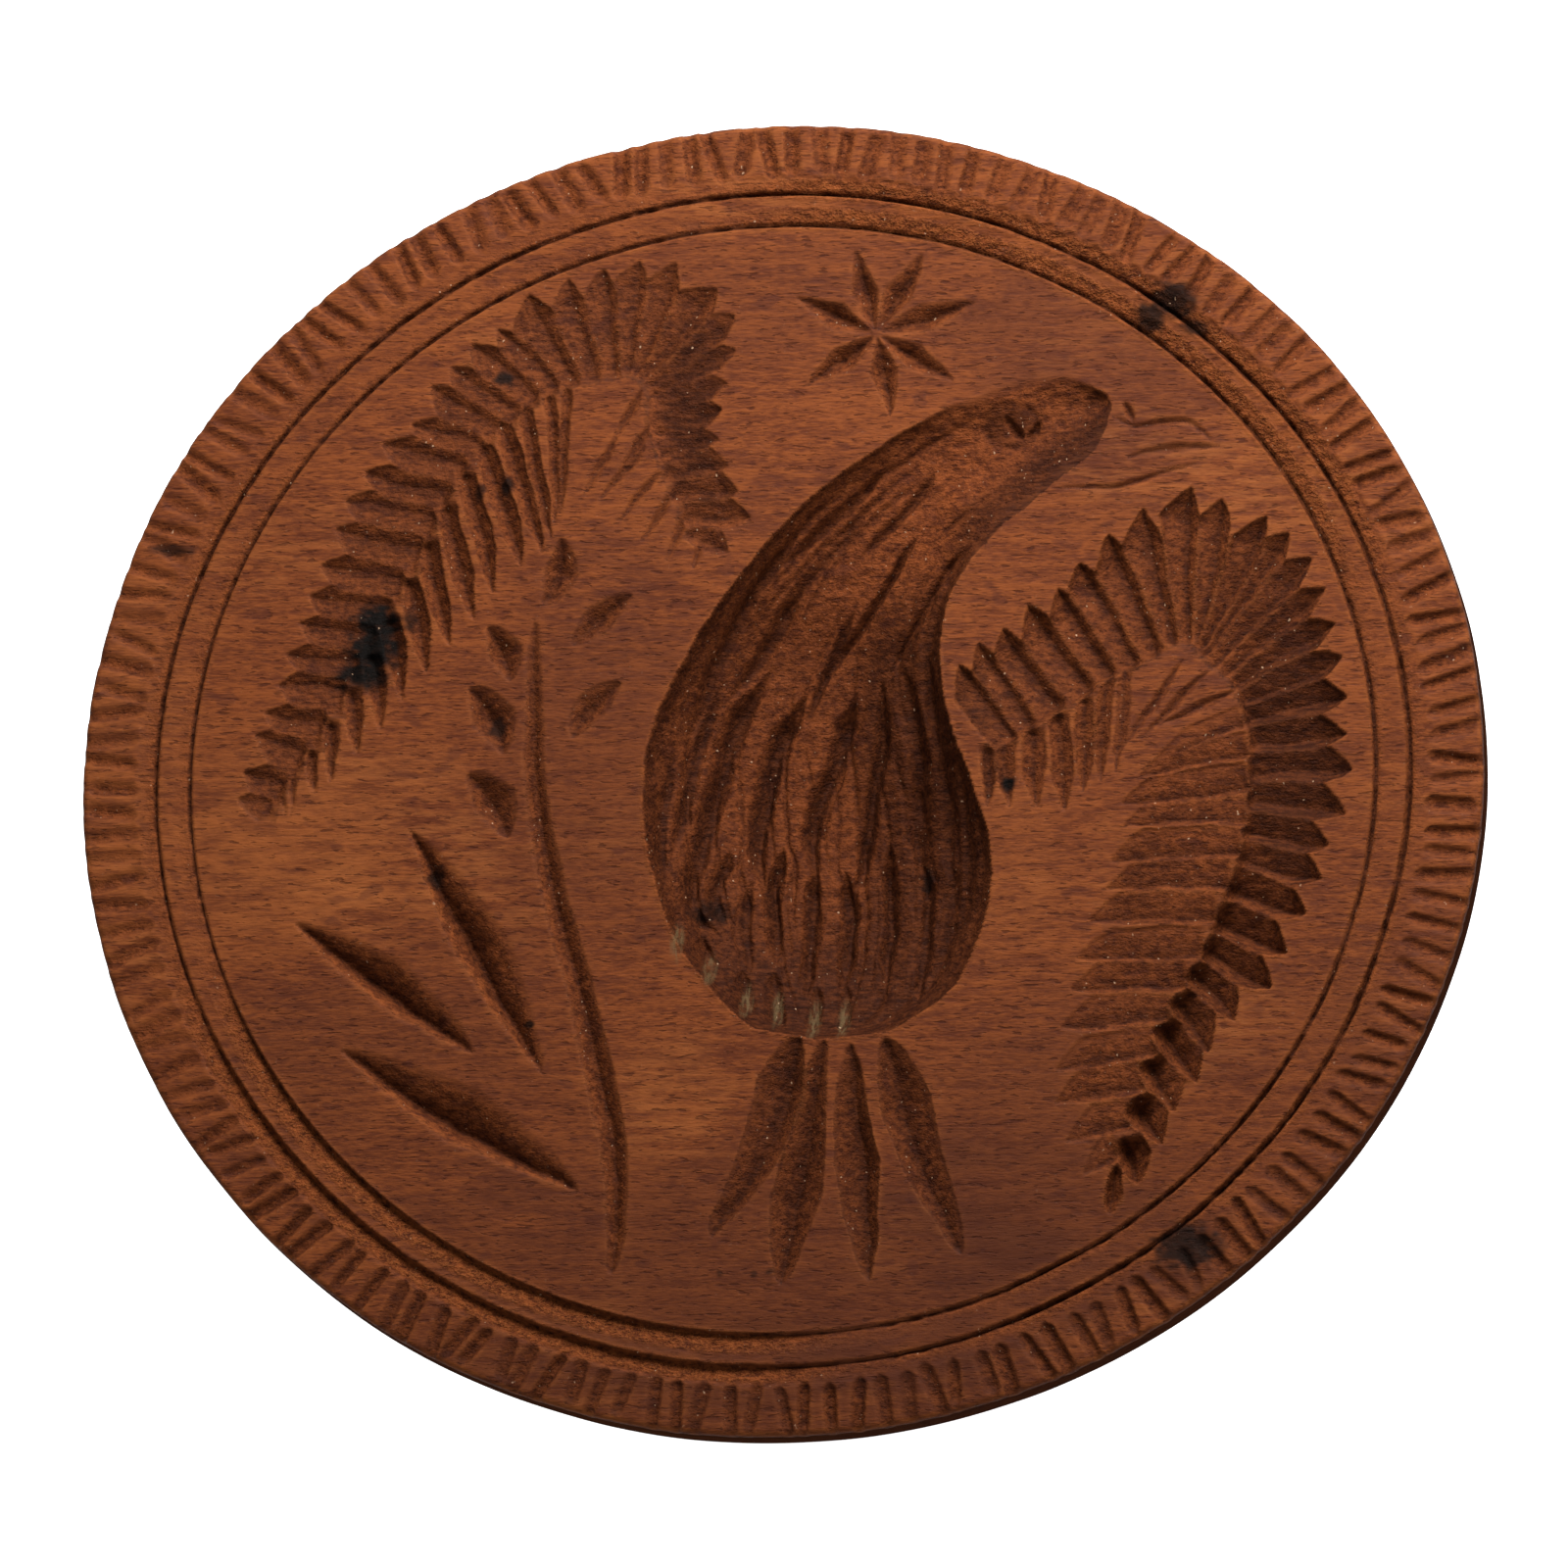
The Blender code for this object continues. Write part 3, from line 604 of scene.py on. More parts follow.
def rooms(roots, tips, share):
    """How much width each leaflet has at this share of its length, between its neighbours."""
    count = len(roots)
    middles = roots + (tips - roots) * share
    found = []
    for i in range(count):
        along = (tips[i] - roots[i]) / np.linalg.norm(tips[i] - roots[i])
        gaps = []
        for j in (i - 1, i + 1):
            if 0 <= j < count:
                other = middles[j] - middles[i]
                gaps.append(abs(along[0] * other[1] - along[1] * other[0]))
        found.append(sum(gaps) / len(gaps))
    return np.array(found)


def cut_outer_leaflets(c, rib, tips, deep, steep, blade, grime_and_shade, floor, seed):
    """Cuts with a wide wall on their left and a steep one on their right, darkened towards the
    valley by dirt and painted shade.
    """
    uniform = np.random.default_rng(seed).uniform
    tips = np.array(tips)
    steps = np.linspace(0, len(rib) - 1, len(tips))
    roots = np.array([on_curve(rib, step) for step in steps])
    roots = roots + uniform(-0.15, 0.15, roots.shape)
    at_root = rooms(roots, tips, 0.0)
    at_tip = rooms(roots, tips, 0.75)
    for root, tip, start, room in zip(roots, tips, at_root, at_tip):
        room = min(room, 3.0)
        fan = min(max(start / room, 0.3), 1.1)
        depth = deep * min(0.3 * room + 0.12, 1.0) * uniform(0.85, 1.15)
        depth *= 1 + 0.6 * float(smooth((-8.0 - tip[1]) / 6.0))
        bow = uniform(-0.035, 0.035)
        point = room * blade * uniform(0.85, 1.15)
        c.leaflet(root, tip, room, room * steep, depth, fan, point, bow, grime_and_shade, floor)


def cut_inner_leaflets(c, pairs, step, left, right, depth, point, grime_and_shade, floor, seed):
    uniform = np.random.default_rng(seed).uniform
    roots = resample([pair[0] for pair in pairs], step)
    tips = resample([pair[1] for pair in pairs], step)
    tips = tips + uniform(-0.35, 0.35, tips.shape)
    room = np.minimum(rooms(roots, tips, 0.4), 2.6)
    for root, tip, width in zip(roots, tips, room):
        bow = uniform(-0.03, 0.03)
        deep = depth * width * uniform(0.8, 1.2)
        c.leaflet(root, tip, width * left, width * right, deep, 1.0, point, bow, grime_and_shade, floor)


def bowed(start, end, bow):
    """A path from start to end that bows to its left by this much."""
    bow = bow / math.dist(start, end)
    start = np.asarray(start, float)
    end = np.asarray(end, float)
    side = np.array([start[1] - end[1], end[0] - start[0]])
    steps = np.linspace(0, 1, 7)[:, None]
    return start + (end - start) * steps + side * bow * 4 * steps * (1 - steps)


def cut_chips(c):
    for start, end, left, right, depth, bow in LEAVES:
        path = bowed(start, end, bow)
        c.stroke(path, left * 1.35, right * 1.1, depth * 1.25, widest=0.5, blunt=0.6, power=1.5,
                 grime_and_shade=0.85, even=0.1)
    for start, end, left, right, depth, bow in SEEDS:
        path = bowed(start, end, bow)
        c.stroke(path, left * 1.4, right * 1.3, depth * 1.15, widest=0.5, blunt=0.55,
                 grime_and_shade=0.8, even=0.45)
    for path, left, right, depth, widest in TAIL:
        c.stroke(resample(path, 5), left * 1.1, right * 1.1, depth * 1.2, widest=widest, blunt=0.5,
                 power=0.85, grime_and_shade=0.95, even=0.55)
    centre = np.array(STAR_CENTRE)
    for tip in STAR_TIPS:
        hub = centre + (np.array(tip) - centre) * 0.04
        c.stroke([hub, tip], 1.25, 1.05, 1.0, widest=0.45, blunt=0.75, grime_and_shade=0.85, even=0.3)
    c.stroke(resample(STEM, 6), 1.3, 1.15, 0.95, widest=0.75, blunt=0.3, grime_and_shade=0.75, even=0.35)
    for start, end in ARCH_STROKES:
        c.stroke([start, end], 0.5, 0.45, 0.4, widest=0.4, blunt=0.5, grime_and_shade=0.7)
    for path, width, depth in BEAK_LINES:
        c.stroke(resample(path, 5), width * 0.7, width * 0.7, depth * 1.4, blunt=0.4, grime_and_shade=0.8)


def carve(x, y):
    """Depth, and dirt with painted shade, of the whole carving at the points."""
    c = Carving(x, y)
    cut_rings(c)
    cut_notches(c)
    for path, width, depth in POOLS:
        c.stroke(resample(path, 6), width, width, depth, blunt=0.3, power=0.25, grime_and_shade=0.75)
    cut_outer_leaflets(c, LEFT_RIB, LEFT_TIPS, deep=0.8, steep=0.5, blade=0.85,
                       grime_and_shade=0.76, floor=0.62, seed=21)
    cut_outer_leaflets(c, RIGHT_RIB, RIGHT_TIPS, deep=1.35, steep=0.45, blade=1.0,
                       grime_and_shade=0.92, floor=0.46, seed=22)
    cut_inner_leaflets(c, LEFT_INNER, INNER_STEP, left=0.44, right=0.4, depth=0.4,
                       point=3.4, grime_and_shade=0.8, floor=0.5, seed=23)
    cut_inner_leaflets(c, RIGHT_INNER, INNER_STEP, left=0.48, right=0.42, depth=0.36,
                       point=3.0, grime_and_shade=0.8, floor=0.5, seed=24)
    cut_inner_leaflets(c, RIGHT_GOUGES, 1, left=0.17, right=0.98, depth=0.2,
                       point=2.8, grime_and_shade=0.7, floor=0.3, seed=25)
    cut_chips(c)
    cut_bird(c)
    cut_feathers(c)
    cut_eye(c)
    ragged = 0.3 * noise(x / 1.1, y / 0.7, 15)
    # Patches of dirt and painted shade, only inside the cuts
    for place in DIRT_AND_SHADE_PATCHES:
        c.grime_and_shade = np.maximum(c.grime_and_shade, patch(x, y, place, ragged) * smooth((c.depth - 0.06) / 0.24))
    rough = 0.03 * noise(x / 2.3, y / 1.1, 2) + 0.02 * noise(x / 0.9, y / 0.5, 3)
    rough = rough * (0.5 + 0.8 * smooth(c.depth))
    rough += 0.035 * noise(x / 0.5, y / 0.4, 21) * smooth(c.depth / 0.3)
    return c.depth + rough, unit(c.grime_and_shade)


def blurred(grid, width):
    """The grid of values blurred by a Gaussian of this many cells."""
    rows, columns = grid.shape
    fy = np.fft.fftfreq(rows)[:, None]
    fx = np.fft.rfftfreq(columns)[None, :]
    keep = np.exp(-2 * (math.pi * width) ** 2 * (fx * fx + fy * fy))
    return np.fft.irfft2(np.fft.rfft2(grid) * keep, s=grid.shape)


class Masks:
    """Where dirt gathers and edges wear and carry a painted highlight, from the carving's depth on
    a square grid.
    """

    CELL = 0.13

    def __init__(self):
        reach = DISC_RADIUS + 3
        self.low = -reach
        line = np.arange(-reach, reach, self.CELL)
        x, y = np.meshgrid(line, line)
        depth, _ = carve(x.ravel(), y.ravel())
        depth = depth.reshape(x.shape)
        fine = blurred(depth, 0.3 / self.CELL)
        shallow = np.minimum(depth, 0.7)
        wide = blurred(shallow, 0.9 / self.CELL)
        rim = np.hypot(x, y / SHRINK) > NOTCH_INNER
        deep = blurred(smooth((depth - 1.3) / 0.5), 0.5 / self.CELL)
        self.maps = {
            # Raised edges and the rim's bars between the notches: rubbed wear with a painted
            # highlight
            "ridge": unit((fine - depth) / 0.12) * (1 - smooth(deep / 0.2)),
            "bar": unit((wide - shallow - 0.2) / 0.25) * np.where(rim, 1.0, 0.35),
            "cut": smooth((fine - 0.05) / 0.25),
        }

    def at(self, name, x, y):
        grid = self.maps[name]
        u = (x - self.low) / self.CELL
        v = (y - self.low) / self.CELL
        i = np.clip(u.astype(int), 0, grid.shape[1] - 2)
        j = np.clip(v.astype(int), 0, grid.shape[0] - 2)
        u = u - i
        v = v - j
        top = grid[j, i] * (1 - u) + grid[j, i + 1] * u
        low = grid[j + 1, i] * (1 - u) + grid[j + 1, i + 1] * u
        return top * (1 - v) + low * v


def squeeze(radius):
    """How much of its width the head keeps across the grain at this distance from its axis."""
    share = smooth((radius - ROUND_TO) / (SHRUNK_FROM - ROUND_TO))
    return 1.0 - (1.0 - SHRINK) * share


def face_rings():
    """Radius and column count of the face's rings, from the centre outwards."""
    rings = []
    radius = 0.3
    edge = DISC_RADIUS - EDGE_WEAR
    steps = math.ceil((edge - radius) / RING_STEP)
    for i in range(steps + 1):
        r = radius + (edge - radius) * i / steps
        halvings = sum(r < limit for limit in HALVINGS)
        rings.append((r, COLUMNS >> halvings))
    return rings


def ring_points(radius, count, z, squeezed=True):
    angle = np.arange(count) * 2 * math.pi / count
    radius = radius * np.ones(count)
    factor = squeeze(radius) if squeezed else 1.0
    x = radius * np.cos(angle)
    y = radius * np.sin(angle) * factor
    return np.stack([x, y, z * np.ones(count)], 1)


def bridge(start_a, count_a, start_b, count_b):
    """Triangles and quads between two rings, where b has as many points as a or half or twice."""
    if count_a == count_b:
        i = np.arange(count_a)
        j = (i + 1) % count_a
        return np.stack([start_a + i, start_b + i, start_b + j, start_a + j], 1).tolist()
    if count_b == 2 * count_a:
        return [face[::-1] for face in bridge(start_b, count_b, start_a, count_a)]
    i = np.arange(count_b)
    j = (i + 1) % count_b
    first = start_a + 2 * i
    second = first + 1
    third = start_a + (2 * i + 2) % count_a
    faces = np.stack([first, start_b + i, second], 1).tolist()
    faces += np.stack([second, start_b + i, start_b + j], 1).tolist()
    faces += np.stack([second, start_b + j, third], 1).tolist()
    return faces


def make_mesh(name, rings, attributes):
    """A closed solid from rings of points, capped by a centre point at each end."""
    counts = [len(ring) for ring in rings]
    starts = np.concatenate([[0], np.cumsum(counts)])
    points = np.vstack(rings + [rings[0].mean(0), rings[-1].mean(0)])
    faces = []
    for k in range(len(rings) - 1):
        faces += bridge(starts[k], counts[k], starts[k + 1], counts[k + 1])
    first = int(starts[-1])
    last = first + 1
    n = counts[0]
    faces += [[first, i, (i + 1) % n] for i in range(n)]
    base = int(starts[-2])
    n = counts[-1]
    faces += [[last, base + (i + 1) % n, base + i] for i in range(n)]
    mesh = bpy.data.meshes.new(name)
    mesh.from_pydata(points * MM, [], faces)
    for key, values in attributes.items():
        attribute = mesh.attributes.new(key, "FLOAT", "POINT")
        padded = np.concatenate([values, values[:1], values[-1:]]).astype(np.float32)
        attribute.data.foreach_set("value", padded)
    mesh.shade_smooth()
    return link(name, mesh)


def outline_wobble(angle):
    """The disc's outline isn't quite round: it is worn and slightly dented."""
    x = np.cos(angle)
    y = np.sin(angle)
    return 0.1 * noise(x * 3, y * 3, 4) + 0.05 * noise(x * 11, y * 11, 5) - 0.12


def make_head():
    masks = Masks()
    rings = []
    on_face = []
    for radius, count in face_rings():
        points = ring_points(radius, count, FACE_Z)
        angle = np.arange(count) * 2 * math.pi / count
        pull = 1 + outline_wobble(angle) / DISC_RADIUS * smooth((radius - 50.5) / 4)
        points[:, :2] *= pull[:, None]
        rings.append(points)
        on_face.append(ring_points(radius, count, 0)[:, :2])
    x, y = np.vstack(on_face).T
    depth, grime_and_shade = carve(x, y)
    starts = np.cumsum([0] + [len(ring) for ring in rings])
    for k, ring in enumerate(rings):
        ring[:, 2] -= depth[starts[k]:starts[k + 1]]
    values = {name: [masks.at(name, x, y)] for name in masks.maps}
    values["grime_and_shade"] = [grime_and_shade]
    values["stain"] = [patches(x, y, STAINS, 0.35 * noise(x / 0.5, y / 0.35, 6))]
    ragged = 0.3 * noise(x / 5.0, y / 1.6, 16)
    values["tone"] = [sum(patch(x, y, place, ragged) for place in FIELD_TONE_AND_SHADE)]
    powdered = []
    for path, _, _ in DUSTY_SCOOPS[:6]:
        middle = np.array(path[1]) * 0.85 + np.array(path[-1]) * 0.15
        powdered.append((*middle, 0.38, 1.3, 1.0))
    values["dust"] = [patches(x, y, powdered, ragged)]
    radius = np.hypot(x, y / SHRINK)
    torn = np.max([smooth((radius - low) / 0.15) * smooth((high - radius) / 0.3)
                   for low, high in TORN_BANDS], axis=0)
    values["torn"] = [torn * (0.15 + 0.85 * torn_side(np.arctan2(y / SHRINK, x)))]

    sides = side_rings(rings[-1])
    plain = sum(len(ring) for ring in sides)
    # The rounded top edge and the lower edge of the side are lighter: wear with a painted highlight
    wear_and_highlight = np.concatenate([
        np.full(len(ring), 1.0 if k in (0, 1, 2) else 0.5 if 9 < k < 14 else 0.0)
        for k, ring in enumerate(sides)])
    for name in values:
        values[name].append(wear_and_highlight if name == "ridge" else np.zeros(plain))
    side = np.ones(plain)
    for k, share in enumerate((0.0, 0.2, 0.6)):
        side[k * COLUMNS:(k + 1) * COLUMNS] = share
    values["side"] = [np.zeros(len(x)), side]
    attributes = {name: np.concatenate(parts) for name, parts in values.items()}
    return make_mesh("carved_head", rings + sides, attributes)


def side_rings(top):
    """Rings from the face's outer ring round the edge, down the back and into the socket."""
    outward = top[:, :2] / np.linalg.norm(top[:, :2], axis=1)[:, None]
    edge_top = top[:, 2].copy()
    sides = []
    for turn in (30, 60, 90):
        a = math.radians(turn)
        ring = top.copy()
        ring[:, :2] += outward * EDGE_WEAR * math.sin(a)
        ring[:, 2] = edge_top - EDGE_WEAR * (1 - math.cos(a))
        sides.append(ring)
    shoulder = sides[-1]
    for share in (0.1, 0.2, 0.35, 0.5, 0.65, 0.8, 0.92):
        ring = shoulder.copy()
        ring[:, 2] = shoulder[:, 2] * (1 - share) + (BAND_LOW + EDGE_WEAR) * share
        sides.append(ring)
    for turn in (0, 30, 60, 90):
        a = math.radians(turn)
        ring = shoulder.copy()
        ring[:, :2] -= outward * EDGE_WEAR * (1 - math.cos(a))
        ring[:, 2] = BAND_LOW + EDGE_WEAR * (1 - math.sin(a))
        sides.append(ring)
    profile = [(DISC_RADIUS - EDGE_WEAR - 0.4, BAND_LOW - 0.1)] + BACK
    profile.append((BOSS_RADIUS + 0.1, BOSS_END + 1.6))
    back = list(resample(profile, 14))[1:]
    for radius, corner in ((BOSS_RADIUS, ((0, 0.9), (-0.25, 0.3), (-0.8, 0), (-2.5, 0))),
                           (SOCKET_MOUTH, ((0.6, 0), (0.15, 0.1), (0, 0.6)))):
        back += [(radius + out, BOSS_END + up) for out, up in corner]
    mouth = np.array(back[-1])
    end = np.array(SOCKET_END)
    back += [tuple(mouth + (end - mouth) * share) for share in (0.25, 0.5, 0.75, 0.97, 1.0)]
    back += [(SOCKET_END[0] * share, SOCKET_END[1]) for share in (0.97, 0.7, 0.4, 0.15)]
    for k, (radius, z) in enumerate(back):
        count = COLUMNS // 2 if k < 2 else COLUMNS // 4
        sides.append(ring_points(radius, count, z))
    return sides


def rounded(corner, radius, start, end, steps=5):
    """Points of a rounded corner, from the angle start to the angle end in degrees."""
    angles = np.radians(np.linspace(start, end, steps))
    return [(corner[0] + radius * math.cos(a), corner[1] + radius * math.sin(a)) for a in angles]


def handle_profile():
    wear = HANDLE_WEAR
    profile = [(r * TENON_TIP_RADIUS, TENON_END) for r in (0.1, 0.5, 0.85)]
    profile += rounded((TENON_TIP_RADIUS - wear, TENON_END - wear), wear, 90, 5)
    for share in np.linspace(0.1, 1.0, 8):
        radius = TENON_TIP_RADIUS + (TENON_RADIUS - TENON_TIP_RADIUS) * share
        profile.append((radius, TENON_END - wear + (SHOULDER_Z - TENON_END + wear) * share))
    profile += [(r, SHOULDER_Z) for r in (TENON_RADIUS + 0.2, 12.0, SEAT_RADIUS - wear - 0.3)]
    profile += rounded((SEAT_RADIUS - wear, SHOULDER_Z - wear), wear, 90, 0)
    profile += [(SEAT_RADIUS, z) for z in (SHOULDER_Z - 1.5, SHOULDER_Z - 2.4)]
    profile += [(SEAT_RADIUS, SHOULDER_Z - 2.9), (SEAT_RADIUS - 0.5, SHOULDER_Z - 3.5)]
    profile += [tuple(p) for p in resample(GRIP, 12)]
    profile += rounded((FOOT_RADIUS - 0.1, 1.1), 1.1, -20, -90, 6)
    profile += [(r * FOOT_RADIUS, 0.0) for r in (0.9, 0.6, 0.25)]
    return profile


def make_handle():
    profile = handle_profile()
    rings = []
    edge = []
    for radius, z in profile:
        rings.append(ring_points(radius, HANDLE_COLUMNS, z, squeezed=False))
        near = abs(z - SHOULDER_Z) < 1.2 and radius > 14 or z < 1.3 and radius > 15
        edge.append(np.full(HANDLE_COLUMNS, 1.0 if near else 0.0))
    return make_mesh("turned_handle", rings, {"ridge": np.concatenate(edge)})


def link(name, data):
    """A new object in the scene with this mesh, light or camera."""
    obj = bpy.data.objects.new(name, data)
    bpy.context.scene.collection.objects.link(obj)
    return obj


class Value:
    """An output in a material's node tree, with the arithmetic done on it."""

    def __init__(self, nodes, socket):
        self.nodes = nodes
        self.socket = socket

    def math(self, operation, other):
        return self.nodes.add("Math", {0: self, 1: other}, operation=operation)

    def __add__(self, other):
        return self.math("ADD", other)

    def __sub__(self, other):
        return self.math("SUBTRACT", other)

    def __mul__(self, other):
        return self.math("MULTIPLY", other)

    def most(self, other):
        """The larger of the two."""
        return self.math("MAXIMUM", other)

    def span(self, low, high, to_low=0.0, to_high=1.0):
        """A soft step from to_low to to_high as this goes from low to high."""
        inputs = dict(enumerate((self, low, high, to_low, to_high)))
        return self.nodes.add("MapRange", inputs, interpolation_type="SMOOTHSTEP")


class Nodes:
    """Short ways to build a material's node tree."""

    def __init__(self, name):
        self.material = bpy.data.materials.new(name)
        self.material.use_nodes = True
        self.tree = self.material.node_tree
        self.shader = self.tree.nodes["Principled BSDF"]
        self.where = None

    def add(self, kind, inputs=None, output=0, **settings):
        """One output of a new node with these inputs and settings."""
        node = self.tree.nodes.new("ShaderNode" + kind)
        for key, value in settings.items():
            setattr(node, key, value)
        for key, value in (inputs or {}).items():
            self.feed(node.inputs[key], value)
        return Value(self, node.outputs[output])

    def feed(self, socket, value):
        if isinstance(value, Value):
            self.tree.links.new(value.socket, socket)
        elif socket.type == "RGBA":
            socket.default_value = (*value, 1.0)
        else:
            socket.default_value = value

    def set(self, key, value):
        self.feed(self.shader.inputs[key], value)

    def attribute(self, name):
        return self.add("Attribute", output="Fac", attribute_name=name)

    def noise(self, scale, detail=3.0, roughness=0.55):
        if self.where is None:
            self.where = self.add("TexCoord", output="Object")
        mapped = self.add("Mapping", {"Vector": self.where, "Scale": scale})
        return self.add("TexNoise", {"Vector": mapped, "Scale": 1.0, "Detail": detail,
                                     "Roughness": roughness})

    def mix(self, factor, a, b):
        return self.add("Mix", {0: factor, 6: a, 7: b}, 2, data_type="RGBA")

    def bump(self, height, distance, **normal):
        return self.add("Bump", {"Height": height, "Distance": distance, **normal})


def head_wood():
    n = Nodes("print_wood")
    grain = n.noise((1300, 6500, 6500), 3, 0.6)
    fibre = n.noise((420, 3000, 3000), 4, 0.65)
    streak = n.noise((230, 1300, 1300), 3, 0.6)
    band = n.noise((60, 260, 260))
    cloud = n.noise((55, 70, 70), 3, 0.5)
    fleck = n.noise((900, 4200, 4200), 2, 0.5)
    spots = n.noise((330, 620, 620), 2, 0.4)
    grit = n.noise((4200, 5200, 5200), 2, 0.6)
    names = ("cut", "ridge", "bar", "grime_and_shade", "stain", "dust", "torn", "tone", "side")
    cut, ridge, bar, grime_and_shade, stain, dust, torn, shade, side = map(n.attribute, names)

    # The flat field: paler and darker fibres, broad pale and purple clouds
    tone = fibre * 0.3 + streak * 0.18 + band * 0.17 + grain * 0.35
    field = n.mix(tone.span(0.4, 0.6), (0.078, 0.0197, 0.0083), (0.176, 0.0468, 0.013))
    light = cloud.span(0.52, 0.7) * streak.span(0.44, 0.6)
    field = n.mix(light * 0.4, field, (0.25, 0.078, 0.022))
    purple = cloud.span(0.5, 0.32) * streak.span(0.56, 0.44)
    field = n.mix(purple * 0.35, field, (0.06, 0.017, 0.01))
    # Broad paler and darker patches of the field from the tone attribute, partly painted shade:
    # darker towards the bottom
    paler = shade.most(0.0) * streak.span(0.35, 0.6, 0.3, 1.0)
    field = n.mix(paler * 0.8, field, (0.27, 0.082, 0.022))
    darker = (shade * -1.0).most(0.0)
    field = n.mix(darker * 0.75, field, (0.055, 0.0155, 0.008))

    # The cuts, with rougher wood in them, and pores over both
    fuzz = n.noise((1500, 1900, 1900), 4, 0.7) * 0.7 + fibre * 0.3
    raw = n.mix(fuzz.span(0.38, 0.62), (0.06, 0.0148, 0.0055), (0.178, 0.0455, 0.0125))
    base = n.mix(cut * 0.9, field, raw)
    pores = fleck.span(0.6, 0.68) * 0.55
    base = n.mix(pores, base, (0.03, 0.008, 0.005))
    base = n.mix(spots.span(0.65, 0.71) * 0.4, base, (0.042, 0.012, 0.009))

    # Wear with a painted highlight, dirt with painted shade, torn grain, stains, dust and lint
    wear_and_highlight = (ridge * 0.35).most(bar) * streak.span(0.38, 0.62, 0.15, 0.85)
    base = n.mix(wear_and_highlight, base, (0.24, 0.072, 0.018))
    # Dirt and painted shade in the cuts, nearly black where the grime is full
    patchy = grime_and_shade * fibre.span(0.3, 0.62, 1.0, 0.7)
    base = n.mix(patchy * 0.95, base, (0.018, 0.005, 0.0025))
    ragged = torn * grit.span(0.46, 0.6)
    base = n.mix(ragged * 0.4, base, (0.25, 0.076, 0.02))
    black = stain * fibre.span(0.3, 0.55, 0.92, 1.0)
    base = n.mix(black, base, (0.0045, 0.0035, 0.003))
    thread = n.noise((4200, 700, 700), 2, 0.5)
    powder = dust * thread.span(0.4, 0.6, 0.1, 0.6)
    base = n.mix(powder, base, (0.115, 0.078, 0.036))
    specks = n.noise((3600, 3600, 3600), 0, 0.5)
    lint = specks.span(0.8, 0.85) * (cut + 0.08) * thread.span(0.45, 0.55)
    base = n.mix(lint * 0.6, base, (0.45, 0.28, 0.17))
    # The upright side and back: darker wood, with painted shade for sides that face away from the
    # light
    n.set("Base Color", n.mix(side * 0.85, base, (0.017, 0.007, 0.0045)))

    n.set("Roughness", streak.span(0.3, 0.7, 0.5, 0.62) + cut * 0.08 + torn * 0.15)
    n.set("Specular IOR Level", (side * -1.0 + 1.0) * 0.035)
    relief = n.bump(fibre * 0.6 + grain * 0.5 - pores * 0.8, 0.00009)
    tear = (torn * 0.7 + cut * 0.6 + 0.06) * grit
    n.set("Normal", n.bump(tear, 0.0002, Normal=relief))
    return n.material


def handle_wood():
    n = Nodes("handle_wood")
    fibre = n.noise((3000, 3000, 260), 4, 0.65)
    streak = n.noise((700, 700, 70), 3, 0.6)
    band = n.noise((120, 120, 14))
    fleck = n.noise((3200, 3200, 600), 2, 0.5)
    lathe = n.noise((60, 60, 2600), 2, 0.5)
    tone = fibre * 0.4 + streak * 0.35 + band * 0.25
    base = n.mix(tone.span(0.36, 0.64), (0.05, 0.016, 0.009), (0.155, 0.05, 0.018))
    base = n.mix(fleck.span(0.62, 0.7) * 0.5, base, (0.03, 0.01, 0.007))
    wear_and_highlight = n.attribute("ridge") * streak.span(0.4, 0.6, 0.2, 0.6)
    n.set("Base Color", n.mix(wear_and_highlight, base, (0.25, 0.1, 0.042)))
    n.set("Roughness", streak.span(0.3, 0.7, 0.34, 0.5))
    n.set("Specular IOR Level", 0.15)
    n.set("Normal", n.bump(fibre + lathe * 0.5, 0.00005))
    return n.material


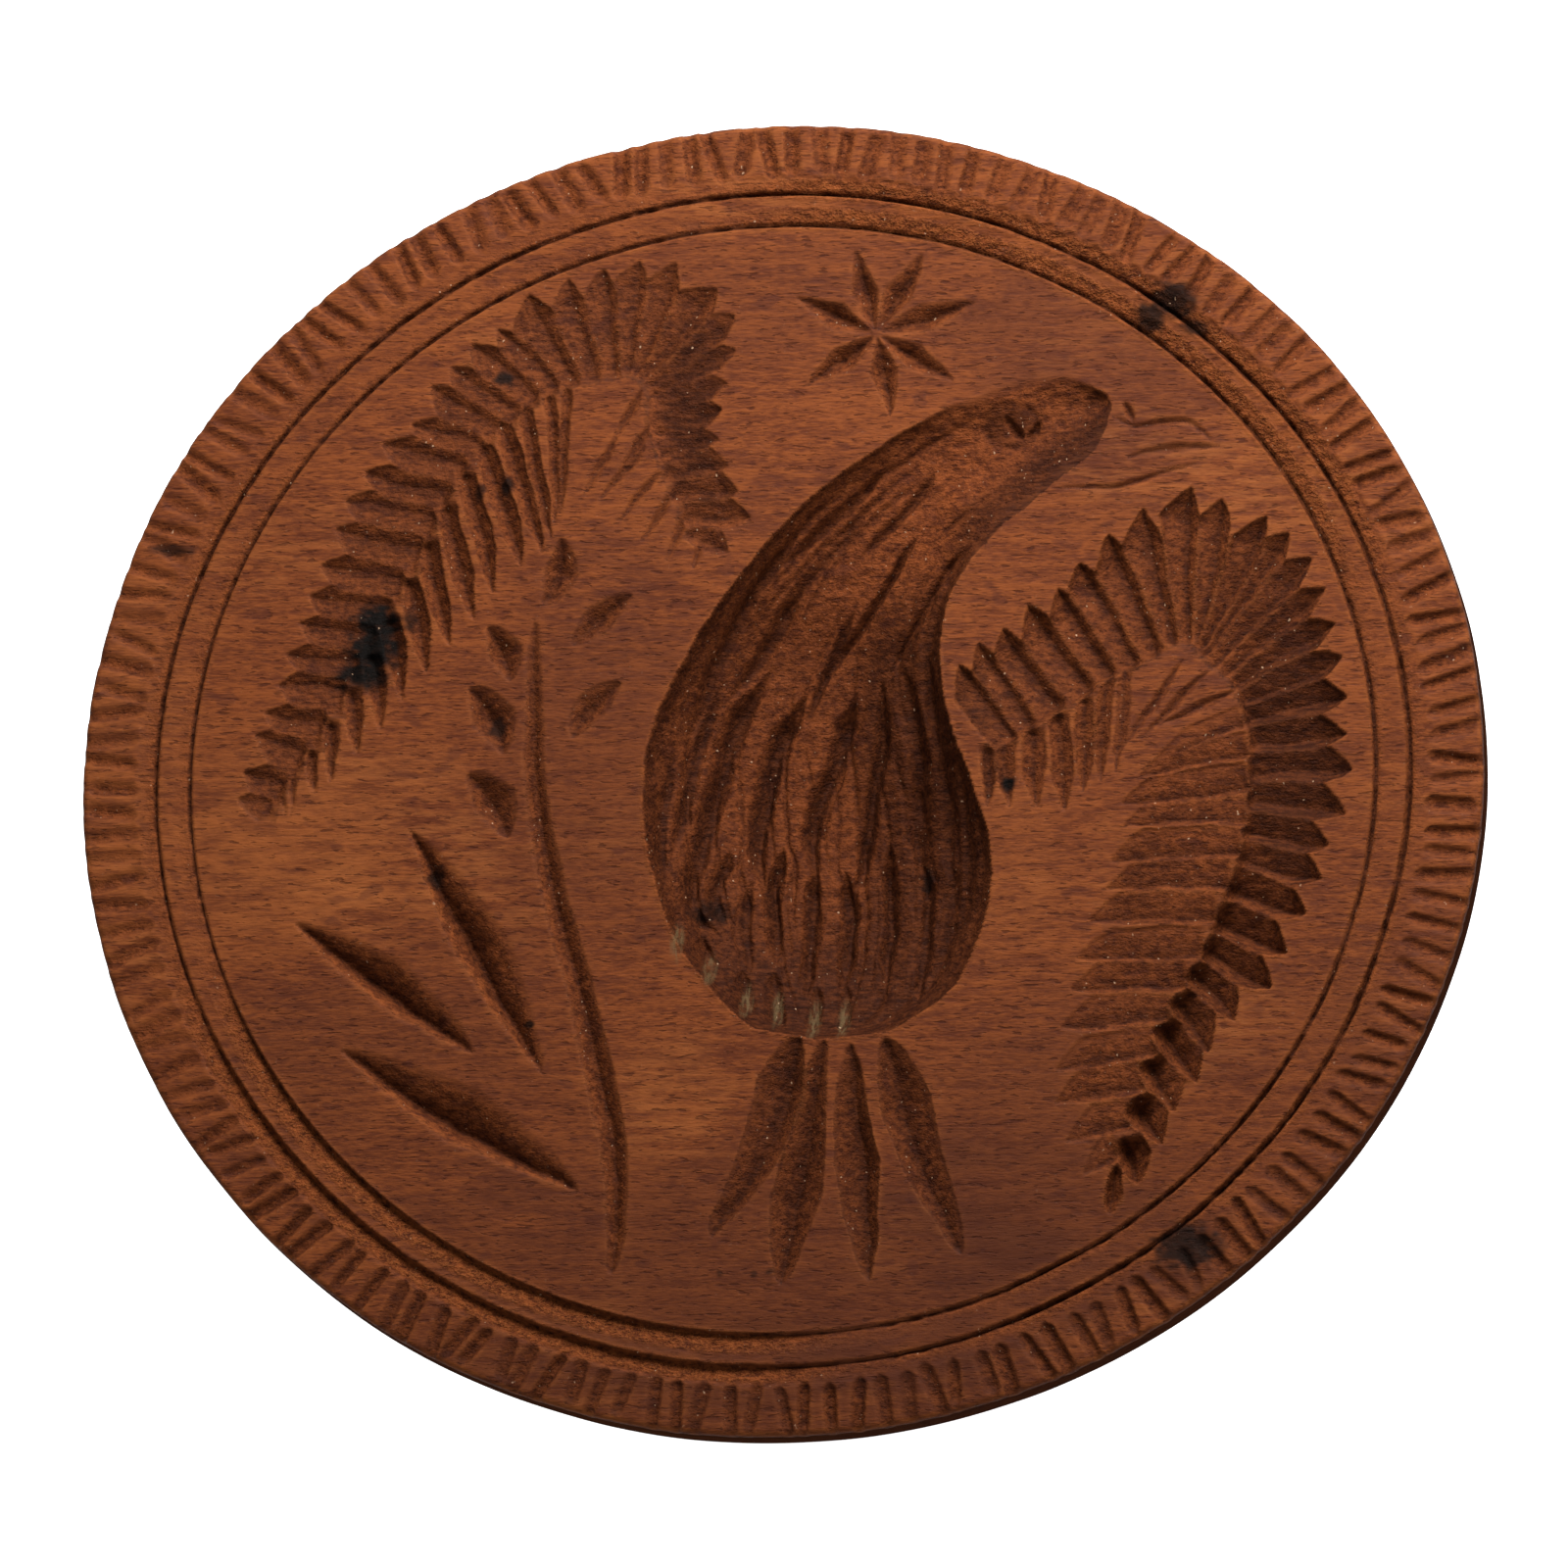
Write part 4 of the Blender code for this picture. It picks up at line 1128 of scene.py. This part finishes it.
def make_stage():
    n = Nodes("pale_floor")
    n.set("Base Color", (0.9, 0.9, 0.9))
    n.set("Roughness", 0.8)
    n.set("Emission Color", (1.0, 1.0, 1.0))
    n.set("Emission Strength", 0.8)
    size = 4.0
    corners = [(-size, -size, 0), (size, -size, 0), (size, size, 0), (-size, size, 0)]
    mesh = bpy.data.meshes.new("floor")
    mesh.from_pydata(corners, [], [(0, 1, 2, 3)])
    mesh.materials.append(n.material)
    link("floor", mesh)


def area_light(name, place, size, watts):
    """A round light that shines on the middle of the face."""
    data = bpy.data.lights.new(name, "AREA")
    data.shape = "DISK"
    data.size = size
    data.energy = watts
    light = link(name, data)
    light.location = place
    aim = Vector((0, 0, FACE_Z * MM)) - Vector(place)
    light.rotation_mode = "QUATERNION"
    light.rotation_quaternion = aim.to_track_quat("-Z", "Y")


def make_lights():
    world = bpy.data.worlds.new("studio")
    world.use_nodes = True
    background = world.node_tree.nodes["Background"]
    background.inputs["Color"].default_value = (1.0, 1.0, 1.0, 1.0)
    background.inputs["Strength"].default_value = 0.3
    bpy.context.scene.world = world
    area_light("key", (0.05, 0.18, 0.245), 0.17, 1.3)
    area_light("side", (0.34, 0.06, 0.30), 0.24, 0.2)
    view = bpy.context.scene.view_settings
    view.view_transform = "Standard"
    view.look = "None"


# The camera looks down at the face, tipped a little from the handle's axis
VIEW_TIP = 13.2             # degrees between the line of sight and the face's normal
VIEW_TOWARDS = -55.0        # direction of the tip in the face, in degrees from +X
VIEW_DISTANCE = 2.4
VIEW_WIDTH = 121.85         # width of what the camera sees at the face


def make_camera():
    tip = math.radians(VIEW_TIP)
    towards = math.radians(VIEW_TOWARDS)
    across = math.sin(tip)
    back = Vector((math.cos(towards) * across, math.sin(towards) * across, math.cos(tip)))
    turn = Vector((0, 0, 1)).rotation_difference(back)
    data = bpy.data.cameras.new("camera")
    data.sensor_width = 36.0
    data.lens = data.sensor_width * VIEW_DISTANCE / (VIEW_WIDTH * MM)
    data.clip_end = 20.0
    camera = link("camera", data)
    camera.rotation_mode = "QUATERNION"
    camera.rotation_quaternion = turn
    aim = Vector((0.25 * MM, -0.45 * MM, FACE_Z * MM))
    camera.location = aim + back * VIEW_DISTANCE
    bpy.context.scene.camera = camera


head = make_head()
head.data.materials.append(head_wood())
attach(head, "print")
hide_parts("print_head")

handle = make_handle()
handle.data.materials.append(handle_wood())
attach(handle, "handle")
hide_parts("handle")

make_stage()
make_lights()
make_camera()
